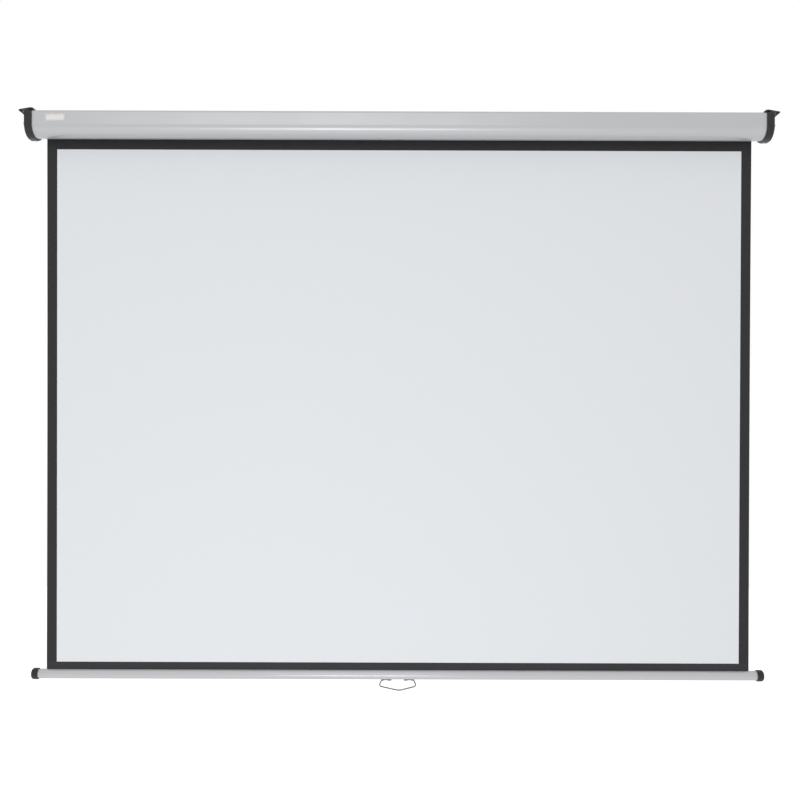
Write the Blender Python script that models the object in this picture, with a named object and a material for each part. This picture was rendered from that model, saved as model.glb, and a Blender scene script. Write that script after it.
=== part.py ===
"""Pull-down projector screen, made of its separate pieces at real size, shown pulled down.

Metres. +X runs to the right along the case, +Y goes into the wall and +Z is up. The origin is
the centre of the case's back face, on the wall.
"""

import math

import bmesh
import bpy

MM = 0.001

# Clearance between pieces that rest on or fit in each other
GAP = 0.3 * MM

# Picture and cloth
PICTURE_WIDTH = 1500 * MM
PICTURE_HEIGHT = 1125 * MM
SIDE_BORDER = 22 * MM
TOP_BORDER = 16.7 * MM
BOTTOM_BORDER = 16 * MM
CLOTH_THICKNESS = 0.35 * MM
TURNS_LEFT = 2
TURNS_PULLED = 11

# Case extrusion, as sections across its length
CASE_HEIGHT = 54 * MM
CASE_DEPTH = 69 * MM
CASE_WALL = 1.5 * MM
CASE_SIDE_MARGIN = 13 * MM
TOP_CORNER_RADIUS = 5 * MM
REAR_CORNER_RADIUS = 2 * MM
LOWER_CORNER_DEPTH = 28 * MM
LOWER_CORNER_HEIGHT = 25.5 * MM
LIP_LENGTH = 21 * MM
LIP_RISE = 6 * MM
LIP_TO_CLOTH = 1 * MM
BACK_WALL_RISE = 10 * MM
CHANNEL_RADIUS = 3.8 * MM
CHANNEL_BORE = 2.2 * MM
CHANNEL_MOUTH = 70
CHANNEL_SINK = 0.6 * MM
CHANNEL_TO_WALL = 12 * MM

# End caps
CAP_WIDTH = 16.5 * MM
CAP_FLOOR = 4 * MM
CAP_RIM = 2.8 * MM
CAP_EDGE_BEVEL = 1.6 * MM
CAP_TAIL_RISE = 3.7 * MM
CAP_HEEL_TO_LIP_END = 14 * MM
GROOVE_WALL = 1.5 * MM
GROOVE_BLOCK_LENGTH = 6 * MM
BOSS_RADIUS = 8.5 * MM
BOSS_LENGTH = 8.5 * MM
BOSS_FLOOR = 0.6 * MM

# Mounting ears, moulded on the end caps
EAR_REACH = 16.5 * MM
EAR_INBOARD = 2.4 * MM
EAR_THICKNESS = 3 * MM
EAR_RISE = 1.6 * MM
EAR_SET_BACK = 12.5 * MM
EAR_DROP = 36 * MM
EAR_NOSE = 3 * MM
EAR_CHAMFER = 1.5 * MM
SLOT_WIDTH = 6 * MM
SLOT_LENGTH = 14 * MM
CEILING_SLOT_TO_WALL = 30 * MM
WALL_SLOT_TO_TOP = 23 * MM
GUSSET_THICKNESS = 2.5 * MM
GUSSET_WINDOW = 8 * MM
GUSSET_STRUT = 2.6 * MM

# Screws of the end caps
SCREW_RADIUS = 1.9 * MM
SCREW_LENGTH = 16 * MM
SCREW_HEAD_RADIUS = 3.9 * MM
SCREW_HEAD_HEIGHT = 2.5 * MM
SCREW_CROSS_WIDTH = 1.0 * MM
SCREW_CROSS_LENGTH = 4.4 * MM
SCREW_CROSS_DEPTH = 1.3 * MM
SCREW_TIP_RADIUS = 1 * MM

# Roller and its ends
ROLLER_RADIUS = 14 * MM
ROLLER_WALL = 1 * MM
ROLLER_OVERHANG = 6 * MM
PLUG_DEPTH = 30 * MM
FLANGE_THICKNESS = 3 * MM
IDLER_PIN_RADIUS = 3 * MM

# Fixed spindle, spring and ratchet
SPINDLE_RADIUS = 4 * MM
SPINDLE_LENGTH = 350 * MM
BLADE_LENGTH = 11 * MM
BLADE_THICKNESS = 4.4 * MM
ANCHOR_DISC = 6 * MM
ANCHOR_COLLAR = 5 * MM
ANCHOR_COLLAR_RADIUS = 8 * MM
SPIGOT_RADIUS = 5.9 * MM
ANCHOR_SPIGOT = 8 * MM
PLUG_SPIGOT = 18 * MM
SPRING_WIRE = 1.6 * MM
HUB_RADIUS = 7.4 * MM
HUB_THICKNESS = 3 * MM
NOTCH_FLOOR = 5.4 * MM
NOTCH_FACE = 1.6 * MM
NOTCH_WIDTH = 2.8 * MM
NOTCH_RAMP = 0.24
PAWL_THICKNESS = 2.2 * MM
PAWL_PIVOT_SIDE = 7.6 * MM
PAWL_PIVOT_RISE = 9 * MM
PAWL_EYE_RADIUS = 2.1 * MM
PAWL_EYE_START = -100
PAWL_EYE_END = 110
PAWL_NOSE_WIDTH = 1.9 * MM
PAWL_NOSE_HEIGHT = 1.9 * MM
PAWL_LIFT = 20
PAWL_PIN_RADIUS = 0.9 * MM
PAWL_PIN_DEPTH = 6 * MM
PAWL_PIN_HEAD = 1 * MM
PAWL_PIN_HEAD_TOP = 1.7 * MM

# Bottom bar and hem
BAR_RADIUS = 10.5 * MM
BAR_WALL = 1.2 * MM
BAR_SLOT = 2 * MM
BAR_SIDE_MARGIN = 17 * MM
BAR_CAP_LENGTH = 15 * MM
BAR_CAP_WALL = 1.6 * MM
BAR_CAP_FLOOR = 3 * MM
BAR_CAP_CORNER = 6 * MM
BAR_CAP_SPIGOT = 18 * MM
BAR_WALL_CLEARANCE = 0.6 * MM
BAR_PARK_GAP = 0.5 * MM
HEM_ROD_RADIUS = 2.5 * MM

# Pull handle and its clips
HANDLE_WIRE_RADIUS = 1.4 * MM
HANDLE_TOP_WIDTH = 71 * MM
HANDLE_WIDE_WIDTH = 82.4 * MM
HANDLE_TAIL = 22 * MM
HANDLE_WIDE_DROP = 13 * MM
HANDLE_DROP = 22.9 * MM
HANDLE_LOW_POINT = 3 * MM
HANDLE_TOP_BEND = 3 * MM
HANDLE_WIDE_BEND = 4.5 * MM
HANDLE_LOW_BEND = 30 * MM
HANDLE_BEND_STEP = 22
CLIP_THICKNESS = 0.8 * MM
CLIP_WIDTH = 10 * MM
CLIP_SPACING = 52 * MM
CLIP_FLANGE_START = 50
CLIP_FLANGE_END = 14
CLIP_HOOK_START = -10
CLIP_HOOK_END = -195
CLIP_RIVET_ANGLE = 37
RIVET_RADIUS = 1.3 * MM
RIVET_HEAD_RADIUS = 2.4 * MM
RIVET_HEAD_TOP = 1.4 * MM
RIVET_HEAD_HEIGHT = 0.9 * MM
RIVET_LENGTH = 3.6 * MM

# Label on the case's front
LABEL_WIDTH = 42 * MM
LABEL_HEIGHT = 16 * MM
LABEL_THICKNESS = 0.4 * MM
LABEL_CORNER = 1 * MM
LABEL_TO_CASE_END = 28.7 * MM
LABEL_TO_CASE_TOP = 8 * MM

# Facets of round pieces, and the two ends of the object
SMOOTH_SIDES = 36
PLAIN_SIDES = 24
SMALL_SIDES = 16
HANDS = (("left", -1), ("right", 1))
SHARP_ANGLE = math.radians(35)

# How far a cutter runs past what it cuts
CUT_MARGIN = 5 * MM

# Places that follow from the sizes above
TOP = CASE_HEIGHT / 2
BOTTOM = -CASE_HEIGHT / 2
FRONT = -CASE_DEPTH
CLOTH_WIDTH = PICTURE_WIDTH + 2 * SIDE_BORDER
CASE_VISIBLE_END = CLOTH_WIDTH / 2 + CASE_SIDE_MARGIN
CAP_FACE = CASE_VISIBLE_END + CAP_WIDTH
CAP_INNER = CAP_FACE - CAP_FLOOR
CASE_END = CAP_INNER - GAP
BAR_CAP_RADIUS = BAR_RADIUS + GAP + BAR_CAP_WALL
CLOTH_Y = -(BAR_CAP_RADIUS + BAR_WALL_CLEARANCE)
LIP_END = CLOTH_Y - LIP_TO_CLOTH
ROLL_INNER = ROLLER_RADIUS + GAP
ROLL_OUTER = ROLL_INNER + TURNS_LEFT * CLOTH_THICKNESS
AXIS_Y = CLOTH_Y - CLOTH_THICKNESS / 2 - GAP - ROLL_OUTER
BAR_Z = BOTTOM - TOP_BORDER - PICTURE_HEIGHT - BOTTOM_BORDER - BAR_RADIUS
BAR_UP_Z = BOTTOM - CAP_RIM - BAR_PARK_GAP - BAR_CAP_RADIUS
BAR_TRAVEL = BAR_UP_Z - BAR_Z
HEM_OUTER = HEM_ROD_RADIUS + GAP + CLOTH_THICKNESS
HEM_Z = BAR_RADIUS - BAR_WALL - GAP - HEM_OUTER
HANDLE_Z = -(BAR_RADIUS + GAP + HANDLE_WIRE_RADIUS)
ROLLER_END = CLOTH_WIDTH / 2 + ROLLER_OVERHANG
FLANGE_FACE = ROLLER_END + GAP + FLANGE_THICKNESS
PLUG_RADIUS = ROLLER_RADIUS - ROLLER_WALL - GAP
RATCHET_X = FLANGE_FACE + GAP
BOSS_FACE = CAP_INNER - BOSS_LENGTH
POCKET_FLOOR = CAP_INNER - BOSS_FLOOR
SPINDLE_END = POCKET_FLOOR - GAP
SPINDLE_START = SPINDLE_END - SPINDLE_LENGTH
EAR_TOP = TOP + EAR_RISE + EAR_THICKNESS - GAP / 2
EAR_TIP = CAP_FACE + EAR_REACH
CAP_TAIL_Z = BOTTOM + CAP_TAIL_RISE


def clear_scene():
    for old in list(bpy.data.objects):
        bpy.data.objects.remove(old, do_unlink=True)


def material(name, colour, roughness, metallic=0.0):
    """One Principled material with a plain colour, made once and used again by name."""
    found = bpy.data.materials.get(name)
    if found:
        return found
    made = bpy.data.materials.new(name)
    made.use_nodes = True
    shader = made.node_tree.nodes["Principled BSDF"]
    shader.inputs["Base Color"].default_value = (*colour, 1.0)
    shader.inputs["Roughness"].default_value = roughness
    shader.inputs["Metallic"].default_value = metallic
    made.diffuse_color = (*colour, 1.0)
    return made


def silver_paint(name):
    return material(name, (0.60, 0.61, 0.63), 0.38, 0.6)


def dark_plastic(name):
    return material(name, (0.055, 0.055, 0.06), 0.5)


def zinc(name):
    return material(name, (0.55, 0.56, 0.58), 0.35, 1.0)


def steel(name):
    return material(name, (0.42, 0.43, 0.45), 0.4, 1.0)


def nylon(name):
    return material(name, (0.75, 0.74, 0.70), 0.55)


def finish_object(name, bm, look, parent=None):
    """Turns a finished bmesh into a named object, smooth on its round faces."""
    bmesh.ops.recalc_face_normals(bm, faces=bm.faces)
    mesh = bpy.data.meshes.new(name)
    bm.to_mesh(mesh)
    bm.free()
    made = bpy.data.objects.new(name, mesh)
    bpy.context.scene.collection.objects.link(made)
    mesh.shade_smooth()
    mesh.set_sharp_from_angle(angle=SHARP_ANGLE)
    if look:
        mesh.materials.append(look)
    if parent:
        made.parent = parent
    return made


def axis_empty(name, place, parent=None):
    """An empty on a joint's axis. Its place is given in the world."""
    made = bpy.data.objects.new(name, None)
    made.empty_display_size = 0.02
    bpy.context.scene.collection.objects.link(made)
    origin = parent["place"] if parent else (0.0, 0.0, 0.0)
    made.location = [a - b for a, b in zip(place, origin)]
    made.parent = parent
    made["place"] = place
    return made


def boolean(target, cutter, operation="DIFFERENCE"):
    """Cuts, or joins, with a helper object that is left out of the model."""
    cutter.hide_render = True
    cutter.display_type = "WIRE"
    cutter.parent = target.parent
    step = target.modifiers.new(cutter.name, "BOOLEAN")
    step.operation = operation
    step.solver = "EXACT"
    step.object = cutter


def arc(centre, radii, start, end, steps):
    """Points of an elliptical arc in a plane, from one angle to another in degrees."""
    points = []
    for i in range(steps + 1):
        angle = math.radians(start + (end - start) * i / steps)
        across = centre[0] + radii[0] * math.cos(angle)
        up = centre[1] + radii[1] * math.sin(angle)
        points.append((across, up))
    return points


def circle(centre, radius, sides):
    return arc(centre, (radius, radius), 0, 360, sides)[:-1]


def rectangle(low, high):
    return [(low[0], low[1]), (high[0], low[1]), (high[0], high[1]), (low[0], high[1])]


def rotated(points, centre, degrees):
    turn = math.radians(degrees)
    found = []
    for across, up in points:
        a = across - centre[0]
        b = up - centre[1]
        found.append((
            centre[0] + a * math.cos(turn) - b * math.sin(turn),
            centre[1] + a * math.sin(turn) + b * math.cos(turn),
        ))
    return found


def offset_path(path, distance):
    """An open path moved sideways by a distance to the left of its direction, with mitred bends."""
    normals = []
    for (a0, b0), (a1, b1) in zip(path, path[1:]):
        length = math.hypot(a1 - a0, b1 - b0)
        normals.append((-(b1 - b0) / length, (a1 - a0) / length))
    moved = []
    for i, (a, b) in enumerate(path):
        before = normals[max(i - 1, 0)]
        after = normals[min(i, len(normals) - 1)]
        spread = 1 + before[0] * after[0] + before[1] * after[1]
        shift_a = (before[0] + after[0]) / spread * distance
        shift_b = (before[1] + after[1]) / spread * distance
        moved.append((a + shift_a, b + shift_b))
    return moved


def strip(path, left, right):
    """The closed outline of a wall that follows an open path, from one side distance to the other."""
    return offset_path(path, left) + offset_path(path, right)[::-1]


def prism_bmesh(outline, axis, low, high):
    """A closed outline extruded along X, Y or Z. The outline's plane is the other two axes in order."""
    bm = bmesh.new()
    corners = []
    for a, b in outline:
        place = [a, b]
        place.insert("XYZ".index(axis), low)
        corners.append(bm.verts.new(place))
    face = bm.faces.new(corners)
    grown = bmesh.ops.extrude_face_region(bm, geom=[face])
    move = [0.0, 0.0, 0.0]
    move["XYZ".index(axis)] = high - low
    new_corners = [item for item in grown["geom"] if isinstance(item, bmesh.types.BMVert)]
    bmesh.ops.translate(bm, verts=new_corners, vec=move)
    return bm


def prism(name, outline, axis, low, high, look=None, parent=None):
    return finish_object(name, prism_bmesh(outline, axis, low, high), look, parent)


def turned(name, profile, look=None, parent=None, sides=PLAIN_SIDES, bored=False, side=1):
    """A piece turned about the X axis, from (x, radius) points.

    A bored piece's profile is a closed loop. Any other profile starts and ends on the axis,
    and its first and last points are the radii of its two flat ends.
    """
    bm = bmesh.new()
    rings = []
    for x, radius in profile:
        ring = []
        for across, up in circle((0, 0), radius, sides):
            ring.append(bm.verts.new((side * x, across, up)))
        rings.append(ring)
    pairs = list(zip(rings, rings[1:]))
    if bored:
        pairs.append((rings[-1], rings[0]))
    for ring_a, ring_b in pairs:
        for i in range(sides):
            j = (i + 1) % sides
            bm.faces.new((ring_a[i], ring_a[j], ring_b[j], ring_b[i]))
    if not bored:
        bm.faces.new(rings[0][::-1])
        bm.faces.new(rings[-1])
    return finish_object(name, bm, look, parent)


def sleeve(name, inner, outer, low, high, look=None, parent=None, sides=PLAIN_SIDES, side=1):
    profile = [(low, inner), (high, inner), (high, outer), (low, outer)]
    return turned(name, profile, look, parent, sides, bored=True, side=side)


def peg(name, radius, low, high, look=None, parent=None, sides=PLAIN_SIDES, side=1):
    return turned(name, [(low, radius), (high, radius)], look, parent, sides, side=side)


def case_path():
    """The case's outer outline in (y, z), from the lip's end round the front to the back's foot."""
    lower = arc(
        (FRONT + LOWER_CORNER_DEPTH, BOTTOM + LOWER_CORNER_HEIGHT),
        (LOWER_CORNER_DEPTH, LOWER_CORNER_HEIGHT),
        270,
        180,
        14,
    )
    top_front = arc(
        (FRONT + TOP_CORNER_RADIUS, TOP - TOP_CORNER_RADIUS),
        (TOP_CORNER_RADIUS, TOP_CORNER_RADIUS),
        180,
        90,
        5,
    )
    top_rear = arc(
        (-REAR_CORNER_RADIUS, TOP - REAR_CORNER_RADIUS),
        (REAR_CORNER_RADIUS, REAR_CORNER_RADIUS),
        90,
        0,
        3,
    )
    return lip_path() + lower + top_front + top_rear + [(0.0, BOTTOM + BACK_WALL_RISE)]


def lip_path():
    """The sloping lip in front of the cloth, from its end to its foot."""
    return [(LIP_END, BOTTOM + LIP_RISE), (LIP_END - LIP_LENGTH, BOTTOM)]


def channel_centres():
    """Where the two screw channels run, in (y, z): behind the front face and under the top."""
    inset = CASE_WALL + CHANNEL_RADIUS - CHANNEL_SINK
    upper = (-CHANNEL_TO_WALL, TOP - inset)
    lower = (FRONT + inset, BOTTOM + LOWER_CORNER_HEIGHT)
    return {"upper": upper, "lower": lower}


def channel_outline(centre, facing):
    """A C-shaped screw channel whose mouth faces the given angle, in degrees."""
    start = facing + CHANNEL_MOUTH / 2
    end = facing + 360 - CHANNEL_MOUTH / 2
    outer = arc(centre, (CHANNEL_RADIUS, CHANNEL_RADIUS), start, end, 16)
    inner = arc(centre, (CHANNEL_BORE, CHANNEL_BORE), end, start, 12)
    return outer + inner


def case_shell():
    shell = prism(
        "case_shell",
        strip(case_path(), 0, -CASE_WALL),
        "X",
        -CASE_END,
        CASE_END,
        silver_paint("case_silver"),
    )
    facing = {"upper": 270, "lower": 0}
    for place, centre in channel_centres().items():
        outline = channel_outline(centre, facing[place])
        channel = prism(f"{place}_channel_form", outline, "X", -CASE_END, CASE_END)
        boolean(shell, channel, "UNION")
    return shell


def cap_outline():
    """An end cap's outer outline in (y, z), from the tail of its rim round the front to the back."""
    lower = arc(
        (FRONT + LOWER_CORNER_DEPTH, BOTTOM + LOWER_CORNER_HEIGHT),
        (LOWER_CORNER_DEPTH + CAP_RIM, LOWER_CORNER_HEIGHT + CAP_RIM),
        270,
        180,
        14,
    )
    upper = arc(
        (FRONT + TOP_CORNER_RADIUS, TOP - TOP_CORNER_RADIUS),
        (TOP_CORNER_RADIUS + CAP_RIM, TOP_CORNER_RADIUS + CAP_RIM),
        180,
        90,
        6,
    )
    tail = LIP_END + GAP + GROOVE_WALL
    return (
        [(tail, CAP_TAIL_Z), (LIP_END - CAP_HEEL_TO_LIP_END, BOTTOM - CAP_RIM)]
        + lower
        + upper
        + [(0.0, TOP + CAP_RIM), (0.0, CAP_TAIL_Z)]
    )


def cap_hollow():
    """What is cut from an end cap to take the case: all inside the rim, but not the lip's block."""
    block_top = BOTTOM + LIP_RISE + CASE_WALL + GAP + GROOVE_WALL
    block_rear = LIP_END + GAP + GROOVE_WALL
    block_front = block_rear - GROOVE_BLOCK_LENGTH
    inside = offset_path(case_path(), GAP)
    lip_end, lip_foot = inside[0], inside[1]
    share = (lip_end[0] - block_front) / (lip_end[0] - lip_foot[0])
    block_foot = (block_front, lip_end[1] + share * (lip_foot[1] - lip_end[1]))
    round_the_front = [point for point in inside[1:-1] if point[0] < -REAR_CORNER_RADIUS]
    past_foot = BOTTOM - CAP_RIM - CUT_MARGIN
    return (
        [(block_front, block_top), block_foot]
        + round_the_front
        + [(CUT_MARGIN, TOP + GAP), (CUT_MARGIN, past_foot)]
        + [(block_rear + GAP, past_foot), (block_rear + GAP, block_top)]
    )


def lip_groove():
    """The groove in the lip's block that the end of the case's lip slides into."""
    end, foot = lip_path()
    along = unit(foot, end)
    deep_end = (end[0] + GAP * along[0], end[1] + GAP * along[1])
    return strip([deep_end, foot], GAP, -CASE_WALL - GAP)


def ear_plan(side):
    """The ceiling flange's outline in (x, y), seen from above: a long nose and a slanted front."""
    front = FRONT - CAP_RIM
    inboard = CASE_VISIBLE_END - EAR_INBOARD
    nose = arc((inboard + 2 * EAR_NOSE, front + EAR_NOSE), (2 * EAR_NOSE, EAR_NOSE), 180, 270, 4)
    tip = front + EAR_SET_BACK + CAP_RIM
    points = (
        [(inboard, 0.0)]
        + nose
        + [(EAR_TIP - EAR_CHAMFER, tip - EAR_CHAMFER), (EAR_TIP, tip), (EAR_TIP, 0.0)]
    )
    return [(side * x, y) for x, y in points]


def wall_flange_outline(side):
    """The wall flange's outline in (x, z), seen from the front."""
    foot = EAR_TOP - EAR_DROP
    inner = CAP_FACE - CAP_FLOOR / 2
    points = [
        (inner, EAR_TOP),
        (EAR_TIP, EAR_TOP),
        (EAR_TIP, foot + EAR_REACH / 2),
        (EAR_TIP - EAR_REACH / 2, foot),
        (inner, foot),
    ]
    return [(side * x, z) for x, z in points]


def gusset_outline(side):
    """The front gusset's outline in (x, z): a right triangle under the ceiling flange."""
    inner = CAP_FACE - CAP_FLOOR / 2
    top = EAR_TOP - EAR_THICKNESS / 2
    reach = EAR_TIP - inner - GAP
    points = [(inner, top), (inner + reach, top), (inner, top - reach)]
    return [(side * x, z) for x, z in points]


def gusset_window(side):
    """The small three-cornered window in the gusset."""
    top = EAR_TOP - EAR_THICKNESS - GAP
    tip = EAR_TIP - GUSSET_STRUT * math.sqrt(2) - EAR_THICKNESS / 2
    points = [(tip - GUSSET_WINDOW, top), (tip, top), (tip - GUSSET_WINDOW, top - GUSSET_WINDOW)]
    return [(side * x, z) for x, z in points]


def slot_outline(centre):
    """A mounting slot with round ends, long along the second axis of its plane."""
    half = (SLOT_LENGTH - SLOT_WIDTH) / 2
    radii = (SLOT_WIDTH / 2, SLOT_WIDTH / 2)
    upper = arc((centre[0], centre[1] + half), radii, 0, 180, 6)
    lower = arc((centre[0], centre[1] - half), radii, 180, 360, 6)
    return upper + lower


def cap_body(name, side):
    """An end cap's outer block, with the edge of its outer face rounded except along the wall."""
    bm = prism_bmesh(cap_outline(), "X", side * CASE_VISIBLE_END, side * CAP_FACE)
    rounded_edges = []
    for edge in bm.edges:
        on_face = all(abs(corner.co.x) > CAP_FACE - GAP for corner in edge.verts)
        on_wall = all(corner.co.y > -GAP for corner in edge.verts)
        if on_face and not on_wall:
            rounded_edges.append(edge)
    bmesh.ops.bevel(
        bm,
        geom=rounded_edges,
        offset=CAP_EDGE_BEVEL,
        segments=2,
        profile=0.5,
        affect="EDGES",
        clamp_overlap=True,
    )
    return finish_object(name, bm, dark_plastic("cap_plastic"))


def hollow_cap(cap, side):
    """Cuts an end cap's inside to the case's shape, with a groove for the end of its lip."""
    mouth = side * (CASE_VISIBLE_END - CUT_MARGIN)
    floor = side * CAP_INNER
    boolean(cap, prism(f"{cap.name}_hollow", cap_hollow(), "X", mouth, floor))
    boolean(cap, prism(f"{cap.name}_lip_groove", lip_groove(), "X", mouth, floor))


def add_ear(cap, side):
    """Joins the mounting ear to an end cap: ceiling flange, wall flange and a pierced gusset."""
    name = cap.name
    low = EAR_TOP - EAR_THICKNESS
    ceiling = prism(f"{name}_ceiling_flange", ear_plan(side), "Z", low, EAR_TOP)
    boolean(cap, ceiling, "UNION")
    wall = prism(f"{name}_wall_flange", wall_flange_outline(side), "Y", -EAR_THICKNESS, 0.0)
    boolean(cap, wall, "UNION")
    front = FRONT + EAR_SET_BACK + EAR_CHAMFER
    back = front + GUSSET_THICKNESS
    gusset = prism(f"{name}_gusset", gusset_outline(side), "Y", front, back)
    boolean(cap, gusset, "UNION")
    window = prism(
        f"{name}_gusset_window", gusset_window(side), "Y", front - GAP, back + GAP
    )
    boolean(cap, window)

    slot_x = side * (CAP_FACE + EAR_REACH / 2)
    ceiling_slot = slot_outline((slot_x, -CEILING_SLOT_TO_WALL))
    boolean(cap, prism(f"{name}_ceiling_slot", ceiling_slot, "Z", low - GAP, EAR_TOP + GAP))
    wall_slot = slot_outline((slot_x, EAR_TOP - WALL_SLOT_TO_TOP))
    boolean(cap, prism(f"{name}_wall_slot", wall_slot, "Y", -EAR_THICKNESS - GAP, GAP))


def add_boss(cap, side, pocket):
    """Joins the boss that carries the roller's end. pocket is its hole's outline in (y, z)."""
    root = CAP_INNER + CAP_FLOOR / 2
    outline = circle((AXIS_Y, 0.0), BOSS_RADIUS, PLAIN_SIDES)
    boss = prism(f"{cap.name}_boss", outline, "X", side * BOSS_FACE, side * root)
    boolean(cap, boss, "UNION")
    mouth = side * (BOSS_FACE - CUT_MARGIN)
    boolean(cap, prism(f"{cap.name}_boss_hole", pocket, "X", mouth, side * POCKET_FLOOR))


def drill_cap(cap, side):
    """Cuts the holes of the two screws that go into the case's channels."""
    low = side * (CAP_INNER - CUT_MARGIN)
    high = side * (CAP_FACE + CUT_MARGIN)
    for place, centre in channel_centres().items():
        outline = circle(centre, SCREW_RADIUS + GAP, SMALL_SIDES)
        boolean(cap, prism(f"{cap.name}_{place}_screw_hole", outline, "X", low, high))


def end_cap(name, side, pocket):
    cap = cap_body(name, side)
    hollow_cap(cap, side)
    add_ear(cap, side)
    add_boss(cap, side, pocket)
    drill_cap(cap, side)


def end_caps():
    pin_hole = circle((AXIS_Y, 0.0), IDLER_PIN_RADIUS + GAP, PLAIN_SIDES)
    end_cap("left_end_cap", -1, pin_hole)
    half_thick = BLADE_THICKNESS / 2 + GAP
    half_wide = SPINDLE_RADIUS + GAP
    blade_slot = rectangle((AXIS_Y - half_thick, -half_wide), (AXIS_Y + half_thick, half_wide))
    end_cap("right_end_cap", 1, blade_slot)


def cap_screw(name, centre, side):
    """A pan-head screw with a cross recess, through an end cap into a screw channel."""
    seat = CAP_FACE + GAP
    top = seat + SCREW_HEAD_HEIGHT
    half_height = SCREW_HEAD_HEIGHT / 2
    half_radius = SCREW_HEAD_RADIUS / 2
    dome = arc((seat + half_height, half_radius), (half_height, half_radius), 90, 0, 3)
    profile = [
        (seat - SCREW_LENGTH, SCREW_TIP_RADIUS),
        (seat - SCREW_LENGTH + SCREW_RADIUS, SCREW_RADIUS),
        (seat, SCREW_RADIUS),
        (seat, SCREW_HEAD_RADIUS),
    ] + dome
    screw = turned(name, profile, zinc("screw_zinc"), sides=SMALL_SIDES, side=side)
    screw.location = (0.0, centre[0], centre[1])
    half_long = SCREW_CROSS_LENGTH / 2
    half_wide = SCREW_CROSS_WIDTH / 2
    cross = [
        (-half_long, -half_wide),
        (-half_wide, -half_wide),
        (-half_wide, -half_long),
        (half_wide, -half_long),
        (half_wide, -half_wide),
        (half_long, -half_wide),
        (half_long, half_wide),
        (half_wide, half_wide),
        (half_wide, half_long),
        (-half_wide, half_long),
        (-half_wide, half_wide),
        (-half_long, half_wide),
    ]
    low = side * (top - SCREW_CROSS_DEPTH)
    recess = prism(f"{name}_recess", cross, "X", low, side * (top + SCREW_CROSS_DEPTH))
    boolean(screw, recess)
    recess.location = screw.location


def cap_screws():
    for hand, side in HANDS:
        for place, centre in channel_centres().items():
            cap_screw(f"{hand}_{place}_cap_screw", centre, side)


def front_label():
    """A thin label with round corners on the flat of the case's front."""
    left = -CASE_VISIBLE_END + LABEL_TO_CASE_END
    right = left + LABEL_WIDTH
    high = TOP - LABEL_TO_CASE_TOP
    low = high - LABEL_HEIGHT
    radii = (LABEL_CORNER, LABEL_CORNER)
    outline = (
        arc((right - LABEL_CORNER, low + LABEL_CORNER), radii, -90, 0, 4)
        + arc((right - LABEL_CORNER, high - LABEL_CORNER), radii, 0, 90, 4)
        + arc((left + LABEL_CORNER, high - LABEL_CORNER), radii, 90, 180, 4)
        + arc((left + LABEL_CORNER, low + LABEL_CORNER), radii, 180, 270, 4)
    )
    face = FRONT - GAP - LABEL_THICKNESS
    look = material("label_film", (0.80, 0.79, 0.76), 0.45)
    prism("front_label", outline, "Y", face, face + LABEL_THICKNESS, look)


def roller(axis):
    """The roller tube, and the turns of cloth that stay round it."""
    inner = ROLLER_RADIUS - ROLLER_WALL
    look = steel("roller_steel")
    sleeve("roller_tube", inner, ROLLER_RADIUS, -ROLLER_END, ROLLER_END, look, axis)
    half_cloth = CLOTH_WIDTH / 2
    sleeve("cloth_roll", ROLL_INNER, ROLL_OUTER, -half_cloth, half_cloth, black_cloth(), axis)


def idler_end(axis):
    """The roller's left end: a plug with a flange, and the pin that turns in the cap's boss."""
    start = ROLLER_END - PLUG_DEPTH
    step = ROLLER_END + GAP
    bore = IDLER_PIN_RADIUS + GAP
    profile = [
        (start, bore),
        (FLANGE_FACE, bore),
        (FLANGE_FACE, ROLLER_RADIUS),
        (step, ROLLER_RADIUS),
        (step, PLUG_RADIUS),
        (start, PLUG_RADIUS),
    ]
    turned("idler_end_plug", profile, nylon("plug_nylon"), axis, bored=True, side=-1)
    peg("idler_pin", IDLER_PIN_RADIUS, start, SPINDLE_END, zinc("pin_zinc"), axis, side=-1)


def spring_end(axis):
    """The roller's right end: a plug that turns on the spindle, drilled for the pawls' pins."""
    start = ROLLER_END - PLUG_DEPTH
    step = ROLLER_END + GAP
    bore = SPINDLE_RADIUS + GAP
    tip = start - PLUG_SPIGOT
    profile = [
        (tip, bore),
        (FLANGE_FACE, bore),
        (FLANGE_FACE, ROLLER_RADIUS),
        (step, ROLLER_RADIUS),
        (step, PLUG_RADIUS),
        (start, PLUG_RADIUS),
        (start, SPIGOT_RADIUS),
        (tip, SPIGOT_RADIUS),
    ]
    plug = turned("spring_end_plug", profile, nylon("plug_nylon"), axis, bored=True)
    hole_start = RATCHET_X - PAWL_PIN_DEPTH - GAP
    for place, pivot in pawl_pivots().items():
        outline = circle(pivot, PAWL_PIN_RADIUS + GAP, SMALL_SIDES)
        hole = prism(f"{place}_pin_hole", outline, "X", hole_start, RATCHET_X + GAP)
        boolean(plug, hole)


def pawl_pivots():
    """The two pawl pivots in (y, z) from the roller's axis, half a turn apart."""
    upper = (PAWL_PIVOT_SIDE, PAWL_PIVOT_RISE)
    return {"upper": upper, "lower": (-upper[0], -upper[1])}


def pawl_outline():
    """The upper pawl dropped into its notch, in (y, z) from the roller's axis."""
    pivot = pawl_pivots()["upper"]
    left = -NOTCH_FACE + GAP
    low = NOTCH_FLOOR + GAP
    right = left + PAWL_NOSE_WIDTH
    radii = (PAWL_EYE_RADIUS, PAWL_EYE_RADIUS)
    eye = arc(pivot, radii, PAWL_EYE_START, PAWL_EYE_END, 10)
    return [(left, low + PAWL_NOSE_HEIGHT), (left, low), (right, low)] + eye


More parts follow.
